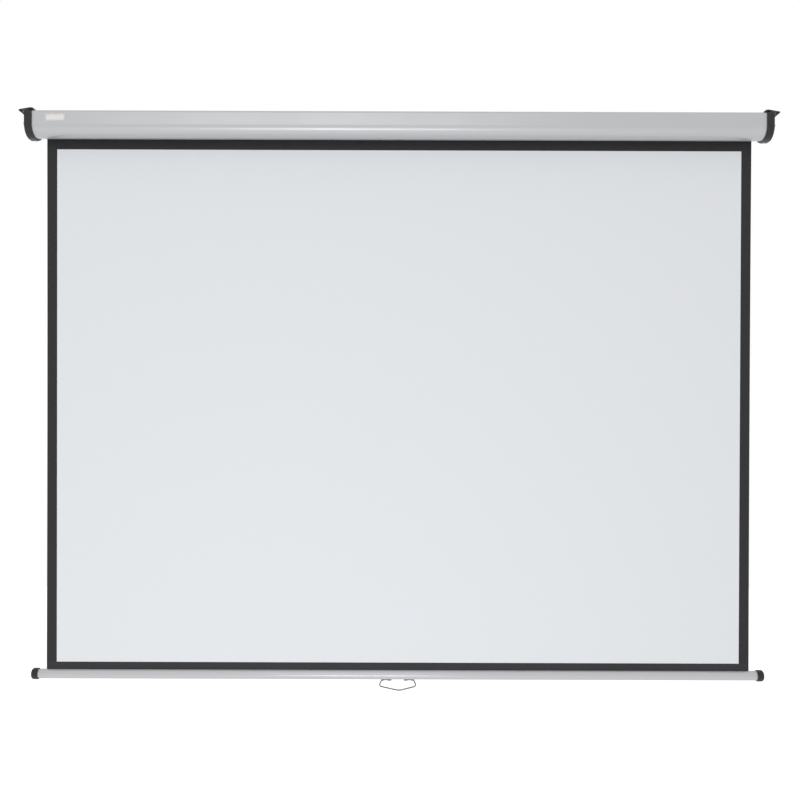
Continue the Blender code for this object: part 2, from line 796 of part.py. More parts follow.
def pawls(roller_axis):
    """Two pawls on the spring end's flange, swung clear of the hub, and the pins that they turn on."""
    for index, (place, pivot) in enumerate(pawl_pivots().items()):
        world = (0.0, AXIS_Y + pivot[0], pivot[1])
        axis = axis_empty(f"{place}_pawl_axis", world, roller_axis)
        outline = rotated(pawl_outline(), pawl_pivots()["upper"], -PAWL_LIFT)
        outline = rotated(outline, (0, 0), 180 * index)
        outline = [(y - pivot[0], z - pivot[1]) for y, z in outline]
        x_high = RATCHET_X + PAWL_THICKNESS
        pawl = prism(f"{place}_pawl", outline, "X", RATCHET_X, x_high, steel("pawl_steel"), axis)
        eye_hole = circle((0, 0), PAWL_PIN_RADIUS + GAP, SMALL_SIDES)
        hole = prism(f"{place}_pawl_hole", eye_hole, "X", RATCHET_X - GAP, x_high + GAP)
        boolean(pawl, hole)
        head = x_high + GAP
        profile = [
            (RATCHET_X - PAWL_PIN_DEPTH, PAWL_PIN_RADIUS),
            (head, PAWL_PIN_RADIUS),
            (head, PAWL_EYE_RADIUS),
            (head + PAWL_PIN_HEAD, PAWL_PIN_HEAD_TOP),
        ]
        turned(f"{place}_pawl_pin", profile, zinc("pin_zinc"), axis, SMALL_SIDES)


def spindle(axis):
    """The fixed spindle, with two flats at its end that keep it from turning in the cap's boss."""
    look = steel("spindle_steel")
    rod = peg("spring_spindle", SPINDLE_RADIUS, SPINDLE_START, SPINDLE_END, look, axis)
    blade_start = SPINDLE_END - BLADE_LENGTH
    near = BLADE_THICKNESS / 2
    far = near + SPINDLE_RADIUS
    for name, low, high in (("front", -far, -near), ("rear", near, far)):
        outline = rectangle((low, -far), (high, far))
        flat = prism(f"blade_flat_{name}", outline, "X", blade_start, SPINDLE_END + CUT_MARGIN)
        boolean(rod, flat)


def ratchet_hub(axis):
    """The notched hub on the spindle. The pawls drop into its notches when the roller stops."""
    low = RATCHET_X
    high = RATCHET_X + HUB_THICKNESS
    bore = SPINDLE_RADIUS + GAP
    look = steel("hub_steel")
    hub = sleeve("ratchet_hub", bore, HUB_RADIUS, low, high, look, axis, SMOOTH_SIDES)
    past = 2 * HUB_RADIUS
    notch = [
        (-NOTCH_FACE, NOTCH_FLOOR),
        (-NOTCH_FACE + NOTCH_WIDTH, NOTCH_FLOOR),
        (-NOTCH_FACE + NOTCH_WIDTH + past, NOTCH_FLOOR + NOTCH_RAMP * past),
        (-NOTCH_FACE, NOTCH_FLOOR + past),
    ]
    for place, degrees in (("upper", 0), ("lower", 180)):
        outline = rotated(notch, (0, 0), degrees)
        boolean(hub, prism(f"{place}_notch", outline, "X", low - GAP, high + GAP))


def spring(axis):
    """The spring round the spindle, and the anchor that ties its inner end to the spindle."""
    bore = SPINDLE_RADIUS + GAP
    start = SPINDLE_START
    disc = start + ANCHOR_DISC
    collar = disc + ANCHOR_COLLAR
    tip = collar + ANCHOR_SPIGOT
    profile = [
        (start, bore),
        (tip, bore),
        (tip, SPIGOT_RADIUS),
        (collar, SPIGOT_RADIUS),
        (collar, ANCHOR_COLLAR_RADIUS),
        (disc, ANCHOR_COLLAR_RADIUS),
        (disc, PLUG_RADIUS),
        (start, PLUG_RADIUS),
    ]
    turned("spring_anchor", profile, nylon("plug_nylon"), axis, bored=True)
    spring_low = collar + GAP
    spring_high = ROLLER_END - PLUG_DEPTH - GAP
    inner = SPIGOT_RADIUS + GAP
    outer = inner + SPRING_WIRE
    sleeve("torsion_spring", inner, outer, spring_low, spring_high, steel("spring_steel"), axis)


def black_cloth():
    return material("cloth_black", (0.03, 0.03, 0.033), 0.75)


def screen_cloth():
    """The hanging cloth: one flat sheet from the back of the roll down into the bottom bar."""
    half = CLOTH_WIDTH / 2
    low = BAR_Z + HEM_Z + HEM_OUTER + GAP
    look = material("cloth_white", (0.80, 0.81, 0.83), 0.8)
    y_low = CLOTH_Y - CLOTH_THICKNESS / 2
    outline = rectangle((-half, low), (half, 0.0))
    prism("screen_cloth", outline, "Y", y_low, y_low + CLOTH_THICKNESS, look)


def bar_tube_outline():
    """The bottom bar's C-shaped section in (y, z), open along its top."""
    outer = math.degrees(math.asin(BAR_SLOT / 2 / BAR_RADIUS))
    inside = BAR_RADIUS - BAR_WALL
    inner = math.degrees(math.asin(BAR_SLOT / 2 / inside))
    round_outside = arc((0, 0), (BAR_RADIUS, BAR_RADIUS), 90 + outer, 450 - outer, SMOOTH_SIDES)
    round_inside = arc((0, 0), (inside, inside), 450 - inner, 90 + inner, SMOOTH_SIDES)
    return round_outside + round_inside


def bottom_bar(axis):
    """The slotted tube with its two caps."""
    shoulder = CLOTH_WIDTH / 2 + BAR_SIDE_MARGIN
    cap_face = shoulder + BAR_CAP_LENGTH
    cap_floor = cap_face - BAR_CAP_FLOOR
    tube_end = cap_floor - GAP
    look = silver_paint("bar_silver")
    tube = prism("bottom_bar_tube", bar_tube_outline(), "X", -tube_end, tube_end, look, axis)
    drill_for_rivets(tube)

    spigot = BAR_RADIUS - BAR_WALL - 2 * GAP
    spigot_end = cap_floor - BAR_CAP_SPIGOT
    corner = arc(
        (cap_face - BAR_CAP_CORNER, BAR_CAP_RADIUS - BAR_CAP_CORNER),
        (BAR_CAP_CORNER, BAR_CAP_CORNER),
        90,
        0,
        5,
    )
    profile = [
        (spigot_end, spigot - GAP),
        (cap_floor, spigot),
        (cap_floor, BAR_RADIUS + GAP),
        (shoulder, BAR_RADIUS + GAP),
        (shoulder, BAR_CAP_RADIUS),
    ] + corner
    look = dark_plastic("bar_cap_plastic")
    for hand, side in HANDS:
        turned(f"{hand}_bar_cap", profile, look, axis, SMOOTH_SIDES, side=side)


def rivet_hole(piece, hand, middle):
    """Cuts a rivet's hole through the bar's wall or a clip, square to the bar's rear underside."""
    outline = circle((middle, 0.0), RIVET_RADIUS + GAP, SMALL_SIDES)
    name = f"{piece.name}_{hand}_hole"
    hole = prism(name, outline, "Z", -2 * BAR_RADIUS, -BAR_RADIUS / 2)
    boolean(piece, hole)
    hole.rotation_euler = (math.radians(CLIP_RIVET_ANGLE), 0.0, 0.0)


def drill_for_rivets(tube):
    for hand, side in HANDS:
        rivet_hole(tube, hand, side * CLIP_SPACING / 2)


def hem(axis):
    """The folded hem and the rod in it, which hold the cloth in the bar."""
    half = CLOTH_WIDTH / 2
    inner = HEM_ROD_RADIUS + GAP
    fold = sleeve("cloth_hem", inner, HEM_OUTER, -half, half, black_cloth(), axis)
    fold.location = (0.0, 0.0, HEM_Z)
    rod = peg("hem_rod", HEM_ROD_RADIUS, -half, half, steel("rod_steel"), axis, SMALL_SIDES)
    rod.location = (0.0, 0.0, HEM_Z)


def clip_path():
    """A clip's middle line in (y, z) from the bar's axis: up the bar's rear, and round the wire."""
    middle = BAR_RADIUS + GAP + CLIP_THICKNESS / 2
    start = -90 + CLIP_FLANGE_START
    end = -90 + CLIP_FLANGE_END
    flange = arc((0, 0), (middle, middle), start, end, 5)
    hook_radius = HANDLE_WIRE_RADIUS + GAP + CLIP_THICKNESS / 2
    hook = arc((0, HANDLE_Z), (hook_radius, hook_radius), CLIP_HOOK_START, CLIP_HOOK_END, 9)
    return flange + hook


def handle_clips(axis):
    """Two hooked clips that hold the handle's wire under the bar, each with its rivet."""
    outline = strip(clip_path(), CLIP_THICKNESS / 2, -CLIP_THICKNESS / 2)
    look = zinc("clip_zinc")
    seat = BAR_RADIUS + 2 * GAP + CLIP_THICKNESS
    rivet_profile = [
        (seat + RIVET_HEAD_HEIGHT - RIVET_LENGTH, RIVET_RADIUS),
        (seat, RIVET_RADIUS),
        (seat, RIVET_HEAD_RADIUS),
        (seat + RIVET_HEAD_HEIGHT, RIVET_HEAD_TOP),
    ]
    for hand, side in HANDS:
        middle = side * CLIP_SPACING / 2
        low = middle - CLIP_WIDTH / 2
        clip = prism(f"{hand}_handle_clip", outline, "X", low, low + CLIP_WIDTH, look, axis)
        rivet_hole(clip, hand, middle)
        rivet = turned(f"{hand}_clip_rivet", rivet_profile, look, axis, SMALL_SIDES)
        rivet.rotation_mode = "ZYX"
        rivet.rotation_euler = (math.radians(CLIP_RIVET_ANGLE), math.radians(90), 0.0)
        rivet.location = (middle, 0.0, 0.0)


def rounded_path(corners, radii, step):
    """Points along straight runs with a round bend of the given radius at each inner corner."""
    path = [corners[0]]
    for before, corner, after, radius in zip(corners, corners[1:], corners[2:], radii):
        into = unit(before, corner)
        out = unit(corner, after)
        bend = math.acos(max(-1.0, min(1.0, into[0] * out[0] + into[1] * out[1])))
        cut = radius * math.tan(bend / 2)
        turn = 1 if into[0] * out[1] - into[1] * out[0] > 0 else -1
        centre = (
            corner[0] - into[0] * cut - into[1] * radius * turn,
            corner[1] - into[1] * cut + into[0] * radius * turn,
        )
        first = math.degrees(math.atan2(-into[0] * turn, into[1] * turn))
        last = first + math.degrees(bend) * turn
        path += arc(centre, (radius, radius), first, last, max(2, round(math.degrees(bend) / step)))
    return path + [corners[-1]]


def unit(start, end):
    length = math.hypot(end[0] - start[0], end[1] - start[1])
    return ((end[0] - start[0]) / length, (end[1] - start[1]) / length)


def pull_handle(axis):
    """The handle: one wire whose inturned ends are its hinge pins, wide at the foot and dipped."""
    top = HANDLE_TOP_WIDTH / 2
    wide = HANDLE_WIDE_WIDTH / 2
    tail = top - HANDLE_TAIL
    corners = [
        (-tail, 0.0),
        (-top, 0.0),
        (-wide, -HANDLE_WIDE_DROP),
        (HANDLE_LOW_POINT, -HANDLE_DROP),
        (wide, -HANDLE_WIDE_DROP),
        (top, 0.0),
        (tail, 0.0),
    ]
    radii = [HANDLE_TOP_BEND, HANDLE_WIDE_BEND, HANDLE_LOW_BEND, HANDLE_WIDE_BEND, HANDLE_TOP_BEND]
    path = rounded_path(corners, radii, HANDLE_BEND_STEP)
    curve = bpy.data.curves.new("pull_handle", "CURVE")
    curve.dimensions = "3D"
    curve.bevel_depth = HANDLE_WIRE_RADIUS
    curve.bevel_resolution = 2
    curve.use_fill_caps = True
    spline = curve.splines.new("POLY")
    spline.points.add(len(path) - 1)
    for point, (x, z) in zip(spline.points, path):
        point.co = (x, 0.0, z, 1.0)
    handle = bpy.data.objects.new("pull_handle", curve)
    bpy.context.scene.collection.objects.link(handle)
    curve.materials.append(zinc("handle_wire"))
    handle.parent = axis


def build():
    clear_scene()
    case_shell()
    end_caps()
    cap_screws()
    front_label()
    spindle_axis = axis_empty("spindle_axis", (0.0, AXIS_Y, 0.0))
    spindle(spindle_axis)
    ratchet_hub(spindle_axis)
    spring(spindle_axis)
    roller_axis = axis_empty("roller_axis", (0.0, AXIS_Y, 0.0))
    roller(roller_axis)
    idler_end(roller_axis)
    spring_end(roller_axis)
    pawls(roller_axis)
    screen_cloth()
    bar_axis = axis_empty("bar_axis", (0.0, CLOTH_Y, BAR_Z))
    bottom_bar(bar_axis)
    hem(bar_axis)
    handle_clips(bar_axis)
    pull_handle(axis_empty("handle_axis", (0.0, CLOTH_Y, BAR_Z + HANDLE_Z), bar_axis))
    print(f"roller axis y {AXIS_Y:.5f}, cloth y {CLOTH_Y:.5f}, bar z {BAR_Z:.5f}")
    print(f"bar travel {BAR_TRAVEL:.5f}, turns per metre {TURNS_PULLED / BAR_TRAVEL:.6f}")


build()
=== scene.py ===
# %% [markdown]
# # A pull down projector screen
# A slim metal case holds a spring roller. White cloth with black edges hangs from the roller, and
# a round bar with a small wire handle pulls it straight. The case is about 1.6 m long, so the
# pieces are long and thin, and each one gets its character from its section.
#
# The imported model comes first. It fixes where every piece is, in metres: x to the right, y into
# the wall, z up, with the wall at y = 0 and the middle of the case at z = 0.

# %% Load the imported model
import math

import bmesh
import bpy
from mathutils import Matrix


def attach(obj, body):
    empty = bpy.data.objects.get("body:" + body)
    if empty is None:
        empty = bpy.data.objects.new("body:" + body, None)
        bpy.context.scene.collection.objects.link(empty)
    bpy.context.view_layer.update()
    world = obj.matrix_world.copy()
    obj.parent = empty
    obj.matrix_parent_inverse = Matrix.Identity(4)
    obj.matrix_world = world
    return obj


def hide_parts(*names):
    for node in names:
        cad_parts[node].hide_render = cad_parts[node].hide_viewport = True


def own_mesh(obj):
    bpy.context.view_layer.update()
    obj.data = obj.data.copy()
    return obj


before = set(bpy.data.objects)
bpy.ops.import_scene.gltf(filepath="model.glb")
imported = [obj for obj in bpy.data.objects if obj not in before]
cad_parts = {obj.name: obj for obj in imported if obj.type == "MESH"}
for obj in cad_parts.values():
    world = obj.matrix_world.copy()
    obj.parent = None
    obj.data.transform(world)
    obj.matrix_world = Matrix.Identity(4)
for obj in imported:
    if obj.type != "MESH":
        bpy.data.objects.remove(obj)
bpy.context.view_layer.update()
MM = 0.001

# %% [markdown]
# ## Camera
# The photograph was taken straight from the front, level with the middle of the cloth, from about
# two metres away. It could be matched by eye, but straight on the only clue to the distance is how
# much of the case's underside shows, so the camera's place was worked out from the corners of the
# cloth, the case and the bar. A 44 mm lens then frames the screen as the photograph does.

# %% Camera at the photograph's place
CAMERA_PLACE = (3.2 * MM, -2.1606, -0.5774)
CAMERA_LENS = 44
LOOKS_DOWN = 0.363
LEANS = -0.18
bpy.ops.object.camera_add(
    location=CAMERA_PLACE, rotation=(math.radians(90 - LOOKS_DOWN), math.radians(LEANS), 0)
)
camera = bpy.context.object
camera.name = "photo_camera"
camera.data.lens = CAMERA_LENS
bpy.context.scene.camera = camera
print("camera lens", camera.data.lens, "mm at", [round(v, 3) for v in camera.location])

# %% [markdown]
# ## Floor and light
# The room is a white studio. The world is white where the camera, a reflection or glass looks at
# it, and gives a softer, even light to everything else, so a colour renders about as it is
# written. The floor is made last: white too, 1.2 m under the bar.
#
# Three lamps do the rest, where one large one would light everything alike. A faint one stands low
# and a little left and lights the cloth, most of all its foot. Reflections don't see it. A large
# panel stands above, in front, so the case is palest left of its middle. A long narrow one stands
# low and further out, and draws the thin bright line along the lower curve of the case and of the
# bar.

# %% Node helpers for the world and the floor
def math_node(tree, operation, first, second=None):
    """A Math node. Each value is a number or another node's output."""
    made = tree.nodes.new("ShaderNodeMath")
    made.operation = operation
    for socket, value in zip(made.inputs, (first, second)):
        if isinstance(value, (int, float)):
            socket.default_value = value
        elif value is not None:
            tree.links.new(value, socket)
    return made.outputs[0]


def looked_at(tree):
    """1 for rays from the camera, in reflections and through glass, and 0 for other light."""
    ray = tree.nodes.new("ShaderNodeLightPath")
    seen = math_node(tree, "MAXIMUM", ray.outputs["Is Camera Ray"], ray.outputs["Is Glossy Ray"])
    return math_node(tree, "MAXIMUM", seen, ray.outputs["Is Transmission Ray"])


# %% World
world = bpy.context.scene.world or bpy.data.worlds.new("studio")
bpy.context.scene.world = world
world.use_nodes = True
bpy.context.scene.view_settings.view_transform = "Standard"
ROOM_LIGHT = 0.78
tree = world.node_tree
tree.nodes.clear()
level = tree.nodes.new("ShaderNodeMapRange")
level.inputs["To Min"].default_value = ROOM_LIGHT
tree.links.new(looked_at(tree), level.inputs["Value"])
backdrop = tree.nodes.new("ShaderNodeBackground")
backdrop.inputs["Color"].default_value = (1.0, 1.0, 1.0, 1.0)
tree.links.new(level.outputs["Result"], backdrop.inputs["Strength"])
world_end = tree.nodes.new("ShaderNodeOutputWorld")
tree.links.new(backdrop.outputs["Background"], world_end.inputs["Surface"])
print("room light", ROOM_LIGHT)


# %% Lamps
def lamp(name, place, aim, width, height, watts, in_reflections=True):
    """A soft rectangular lamp at a place, turned towards the point it aims at."""
    bpy.ops.object.light_add(type="AREA", location=place)
    made = bpy.context.object
    made.name = name
    made.data.shape = "RECTANGLE"
    made.data.size = width
    made.data.size_y = height
    made.data.energy = watts
    toward = [a - p for a, p in zip(aim, place)]
    flat = math.hypot(toward[0], toward[1])
    made.rotation_euler = (
        math.pi / 2 + math.atan2(toward[2], flat),
        0,
        math.atan2(-toward[0], toward[1]),
    )
    made.visible_camera = False
    made.visible_glossy = in_reflections


lamp(
    "cloth_lamp",
    place=(-0.4, -1.8, -1.7),
    aim=(-0.2, 0.0, -0.5),
    width=1.4,
    height=0.2,
    watts=2.5,
    in_reflections=False,
)
lamp("case_panel", place=(-0.45, -2.9, 0.8), aim=(-0.2, 0.0, 0.0), width=1.8, height=0.8, watts=6.5)
lamp(
    "low_line_lamp",
    place=(-0.27, -2.45, -1.8),
    aim=(-0.12, 0.0, -0.1),
    width=1.0,
    height=0.2,
    watts=11,
)

# %% [markdown]
# ## Helpers for modelling by hand
# Everything below is modelled as with the mouse: add a primitive at its size and place, go into
# edit mode, pick faces or edges, and extrude, inset, bevel or spin them. The pick is made in code,
# by where a face or an edge is.


# %% Add a primitive, open it and pick in it
CLOSE = 0.01 * MM


def only(piece):
    """Selects one piece alone, and makes it the active one."""
    bpy.ops.object.select_all(action="DESELECT")
    piece.select_set(True)
    bpy.context.view_layer.objects.active = piece


def add(kind, name, **at):
    """Adds a primitive with nothing else selected, and puts its place into its mesh."""
    bpy.ops.object.select_all(action="DESELECT")
    getattr(bpy.ops.mesh, f"primitive_{kind}_add")(**at)
    made = bpy.context.object
    made.name = name
    made.data.name = name
    bpy.ops.object.transform_apply(location=True, rotation=True, scale=True)
    return made


def edit(piece):
    """Opens one piece in edit mode, alone."""
    only(piece)
    bpy.ops.object.mode_set(mode="EDIT")


def done():
    """Closes edit mode."""
    bpy.ops.object.mode_set(mode="OBJECT")


def take_all():
    """In edit mode, selects everything."""
    bpy.ops.mesh.select_all(action="SELECT")


def middle(item):
    """The middle of a vertex, an edge or a face."""
    if isinstance(item, bmesh.types.BMVert):
        return item.co
    corners = [vert.co for vert in item.verts]
    return sum(corners[1:], corners[0].copy()) / len(corners)


def pick(piece, kind, test):
    """In edit mode, selects just the vertices, edges or faces that pass, and returns how many."""
    bpy.ops.mesh.select_mode(type=kind)
    bpy.ops.mesh.select_all(action="DESELECT")
    bm = bmesh.from_edit_mesh(piece.data)
    group = {"VERT": bm.verts, "EDGE": bm.edges, "FACE": bm.faces}[kind]
    found = [item for item in group if test(middle(item), item)]
    for item in found:
        item.select_set(True)
    bmesh.update_edit_mesh(piece.data)
    return len(found)


print("a pick takes what lies within", CLOSE / MM, "mm of a place")


# %% Extrude, spin, round and finish
def extrude(x=0.0, y=0.0, z=0.0):
    """Extrudes what is selected, and moves the new part."""
    bpy.ops.mesh.extrude_region_move(TRANSFORM_OT_translate={"value": (x, y, z)})


def sweep(centre, degrees, axis=(1, 0, 0), steps=8):
    """Spins what is selected round an axis, right-handed. The operator itself turns left-handed."""
    bpy.ops.mesh.spin(steps=steps, angle=math.radians(-degrees), center=centre, axis=axis)


def apply(piece, kind, **settings):
    """Adds one modifier to a piece and applies it at once."""
    only(piece)
    added = piece.modifiers.new(kind.lower(), kind)
    for setting, value in settings.items():
        setattr(added, setting, value)
    bpy.ops.object.modifier_apply(modifier=added.name)


def round_edges(piece, width, segments, sharper_than):
    """Gives a radius to every edge that is sharper than the angle, in degrees."""
    apply(
        piece,
        "BEVEL",
        width=width,
        segments=segments,
        limit_method="ANGLE",
        angle_limit=math.radians(sharper_than),
        use_clamp_overlap=False,
    )


def outward(piece):
    """Merges doubled points and turns every face outwards."""
    edit(piece)
    take_all()
    bpy.ops.mesh.remove_doubles(threshold=0.002 * MM)
    bpy.ops.mesh.normals_make_consistent(inside=False)
    done()


def soften(piece, degrees=35):
    """Shades a piece smooth, except across edges sharper than the angle, in degrees."""
    only(piece)
    bpy.ops.object.shade_smooth_by_angle(angle=math.radians(degrees))


# %% Give a piece its body, and measure it
def box_of(piece):
    """A piece's lowest and highest corners, in metres."""
    points = [vert.co for vert in piece.data.vertices]
    lowest = [min(p[i] for p in points) for i in range(3)]
    return [lowest, [max(p[i] for p in points) for i in range(3)]]


def in_mm(corners, digits=1):
    """Corners in millimetres, rounded, for printing."""
    return [[round(v / MM, digits) for v in corner] for corner in corners]


def place(piece, body, slot, finish, *nodes):
    """Gives a finished piece its body and finish, and hides the imported nodes it stands for. The
    slot is not used.
    """
    piece.data.materials.clear()
    for look in finish if isinstance(finish, list) else [finish]:
        piece.data.materials.append(look)
    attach(piece, body)
    if nodes:
        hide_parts(*nodes)
    print(piece.name, len(piece.data.polygons), "faces, from", *in_mm(box_of(piece)), "mm")


# %% [markdown]
# ## Shared surface effects
# Paint, plastic, metal and cloth on this object need the same few effects: a fine grain, streaks
# along a drawn metal, faint handling marks, and a weave. Each could be wired anew in every
# material. As a node group with named inputs it is built once, and each material sets its own
# scale. The groups put out plain numbers from 0 to 1.


# %% Node group helpers
def new_group(name, inputs, output):
    """An empty shader node group with number inputs and one number output."""
    group = bpy.data.node_groups.new(name, "ShaderNodeTree")
    for label, value in inputs.items():
        socket = group.interface.new_socket(
            name=label, in_out="INPUT", socket_type="NodeSocketFloat"
        )
        socket.default_value = value
    group.interface.new_socket(name=output, in_out="OUTPUT", socket_type="NodeSocketFloat")
    return group, group.nodes.new("NodeGroupInput"), group.nodes.new("NodeGroupOutput")


def noise_in(group, scale, roughness, stretch=None):
    """A noise on Object coordinates, stretched if asked. Its scale comes from a socket."""
    spot = group.nodes.new("ShaderNodeTexCoord").outputs["Object"]
    if stretch:
        mapping = group.nodes.new("ShaderNodeMapping")
        mapping.inputs["Scale"].default_value = stretch
        group.links.new(spot, mapping.inputs["Vector"])
        spot = mapping.outputs["Vector"]
    noise = group.nodes.new("ShaderNodeTexNoise")
    noise.inputs["Roughness"].default_value = roughness
    group.links.new(spot, noise.inputs["Vector"])
    group.links.new(scale, noise.inputs["Scale"])
    return noise


def place_on_cloth(tree):
    """The place on the cloth in metres, across and up, from the cloth's own UV map."""
    cloth_map = tree.nodes.new("ShaderNodeUVMap")
    cloth_map.uv_map = "cloth"
    parts = tree.nodes.new("ShaderNodeSeparateXYZ")
    tree.links.new(cloth_map.outputs["UV"], parts.inputs["Vector"])
    return parts.outputs["X"], parts.outputs["Y"]


# %% Group: fine grain, as in moulded plastic and matt paint
grain, grain_in, grain_out = new_group("fine_grain", {"Cells per metre": 900.0}, "Height")
noise = noise_in(grain, grain_in.outputs["Cells per metre"], roughness=0.55)
noise.inputs["Detail"].default_value = 3.0
grain.links.new(noise.outputs["Fac"], grain_out.inputs["Height"])
print("group", grain.name)

# %% Group: streaks that run along x, as a die leaves on an extrusion
ENDLESS_IN_X = (0.0, 1.0, 1.0)
streaks, streaks_in, streaks_out = new_group("drawn_streaks", {"Streaks per metre": 600.0}, "Lines")
noise = noise_in(streaks, streaks_in.outputs["Streaks per metre"], 0.5, stretch=ENDLESS_IN_X)
noise.inputs["Detail"].default_value = 2.0
streaks.links.new(noise.outputs["Fac"], streaks_out.inputs["Lines"])
print("group", streaks.name)

# %% Group: faint cloudy marks from hands and dust
marks, marks_in, marks_out = new_group(
    "handling_marks", {"Clouds per metre": 14.0, "Fineness": 5.0}, "Mask"
)
noise = noise_in(marks, marks_in.outputs["Clouds per metre"], roughness=0.6)
noise.inputs["Distortion"].default_value = 0.4
clouds = marks.nodes.new("ShaderNodeMapRange")
clouds.interpolation_type = "SMOOTHSTEP"
clouds.inputs["From Min"].default_value = 0.36
clouds.inputs["From Max"].default_value = 0.66
marks.links.new(marks_in.outputs["Fineness"], noise.inputs["Detail"])
marks.links.new(noise.outputs["Fac"], clouds.inputs["Value"])
marks.links.new(clouds.outputs["Result"], marks_out.inputs["Mask"])
print("group", marks.name)

# %% Group: plain weave from the cloth's own UV map, which is in metres
weave, weave_in, weave_out = new_group("plain_weave", {"Threads per metre": 1400.0}, "Height")
waves = math_node(weave, "MULTIPLY", weave_in.outputs["Threads per metre"], math.pi)
across, along = [
    math_node(weave, "SINE", math_node(weave, "MULTIPLY", part, waves))
    for part in place_on_cloth(weave)
]
over_under = math_node(weave, "MULTIPLY", across, along)
weave.links.new(math_node(weave, "ABSOLUTE", over_under), weave_out.inputs["Height"])
print("group", weave.name)

# %% [markdown]
# ## Finishes
# One class starts every material, and its short calls add an effect: a second colour that shows
# through a mask, a roughness that the mask moves, and a bump from a height. What differs is in
# the numbers, so the painted case, the bar, the plastic and the cloth stay easy to compare.


# %% Material helpers
class Finish:
    """A material with one Principled shader, and short calls that wire effects into it."""

    def __init__(self, name, colour, roughness, metallic=0.0, shine=0.5):
        self.material = bpy.data.materials.new(name)
        self.material.use_nodes = True
        self.tree = self.material.node_tree
        self.shader = self.tree.nodes["Principled BSDF"]
        self.colour = (*colour, 1.0)
        self.shader.inputs["Base Color"].default_value = self.colour
        self.shader.inputs["Roughness"].default_value = roughness
        self.shader.inputs["Metallic"].default_value = metallic
        self.shader.inputs["Specular IOR Level"].default_value = shine
        self.material.diffuse_color = self.colour

    def effect(self, group, output, **values):
        """One of the shared groups, with this material's own values."""
        node = self.tree.nodes.new("ShaderNodeGroup")
        node.node_tree = group
        for label, value in values.items():
            node.inputs[label.replace("_", " ")].default_value = value
        return node.outputs[output]

    def tint(self, mask, other, share=1.0):
        """Lets another colour show through where the mask is high, or a share of it."""
        if share != 1.0:
            mask = math_node(self.tree, "MULTIPLY", mask, share)
        mix = self.tree.nodes.new("ShaderNodeMix")
        mix.data_type = "RGBA"
        base = self.shader.inputs["Base Color"]
        if base.is_linked:
            self.tree.links.new(base.links[0].from_socket, mix.inputs["A"])
        else:
            mix.inputs["A"].default_value = self.colour
        mix.inputs["B"].default_value = (*other, 1.0)
        self.tree.links.new(mask, mix.inputs["Factor"])
        self.tree.links.new(mix.outputs["Result"], base)

    def polish(self, mask, smooth, rough):
        """Moves the roughness between two values with the mask."""
        spread = self.tree.nodes.new("ShaderNodeMapRange")
        spread.inputs["To Min"].default_value = smooth
        spread.inputs["To Max"].default_value = rough
        self.tree.links.new(mask, spread.inputs["Value"])
        self.tree.links.new(spread.outputs["Result"], self.shader.inputs["Roughness"])

    def bump(self, height, depth, strength=1.0):
        """Raises the surface by the height, depth in metres. Bumps stack."""
        made = self.tree.nodes.new("ShaderNodeBump")
        made.inputs["Distance"].default_value = depth
        made.inputs["Strength"].default_value = strength
        self.tree.links.new(height, made.inputs["Height"])
        normal = self.shader.inputs["Normal"]
        if normal.is_linked:
            self.tree.links.new(normal.links[0].from_socket, made.inputs["Normal"])
        self.tree.links.new(made.outputs["Normal"], normal)


# %% Silver paint of the case, and of the bar
def silver(name, colour, deeper, roughness, streaks_per_metre):
    """A satin silver lacquer on an extrusion: die streaks under it, faint marks over it."""
    made = Finish(name, colour, roughness, metallic=0.22)
    lines = made.effect(streaks, "Lines", Streaks_per_metre=streaks_per_metre)
    cloud = made.effect(marks, "Mask", Clouds_per_metre=9.0, Fineness=1.0)
    made.tint(lines, deeper, share=0.6)
    made.polish(cloud, roughness - 0.02, roughness + 0.02)
    made.bump(lines, 0.002 * MM, 0.5)
    return made.material


SILVER = (0.53, 0.535, 0.55)
DEEPER_SILVER = (0.49, 0.495, 0.51)
case_paint = silver("case_silver_paint", SILVER, DEEPER_SILVER, 0.3, 300.0)
bar_paint = silver("bar_silver_paint", SILVER, DEEPER_SILVER, 0.25, 500.0)
print("made", case_paint.name, "and", bar_paint.name)


# %% Moulded plastic
def moulded(name, colour, worn, roughness):
    """Dark plastic with the fine grain of its mould, rubbed paler here and there."""
    made = Finish(name, colour, roughness, shine=0.3)
    cloud = made.effect(marks, "Mask", Clouds_per_metre=60.0)
    speck = made.effect(grain, "Height", Cells_per_metre=1500.0)
    made.tint(cloud, worn, share=speck)
    made.polish(cloud, roughness - 0.05, roughness + 0.08)
    made.bump(speck, 0.06 * MM, 0.6)
    return made.material


cap_plastic = moulded("end_cap_plastic", (0.020, 0.020, 0.022), (0.032, 0.032, 0.036), 0.42)
bar_cap_plastic = moulded("bar_cap_dark_plastic", (0.014, 0.014, 0.016), (0.026, 0.026, 0.03), 0.4)
plug_nylon = moulded("plug_pale_nylon", (0.62, 0.61, 0.57), (0.52, 0.51, 0.47), 0.4)
print("made", cap_plastic.name, bar_cap_plastic.name, "and", plug_nylon.name)


# %% Bare and plated metals
def plated(name, colour, tarnish, roughness, cells):
    """Zinc, steel or wire: metal with cloudy tarnish and a fine grain."""
    made = Finish(name, colour, roughness, metallic=1.0)
    cloud = made.effect(marks, "Mask", Clouds_per_metre=110.0)
    made.tint(cloud, tarnish, share=0.7)
    made.polish(cloud, roughness - 0.06, roughness + 0.1)
    made.bump(made.effect(grain, "Height", Cells_per_metre=cells), 0.02 * MM, 0.4)
    return made.material


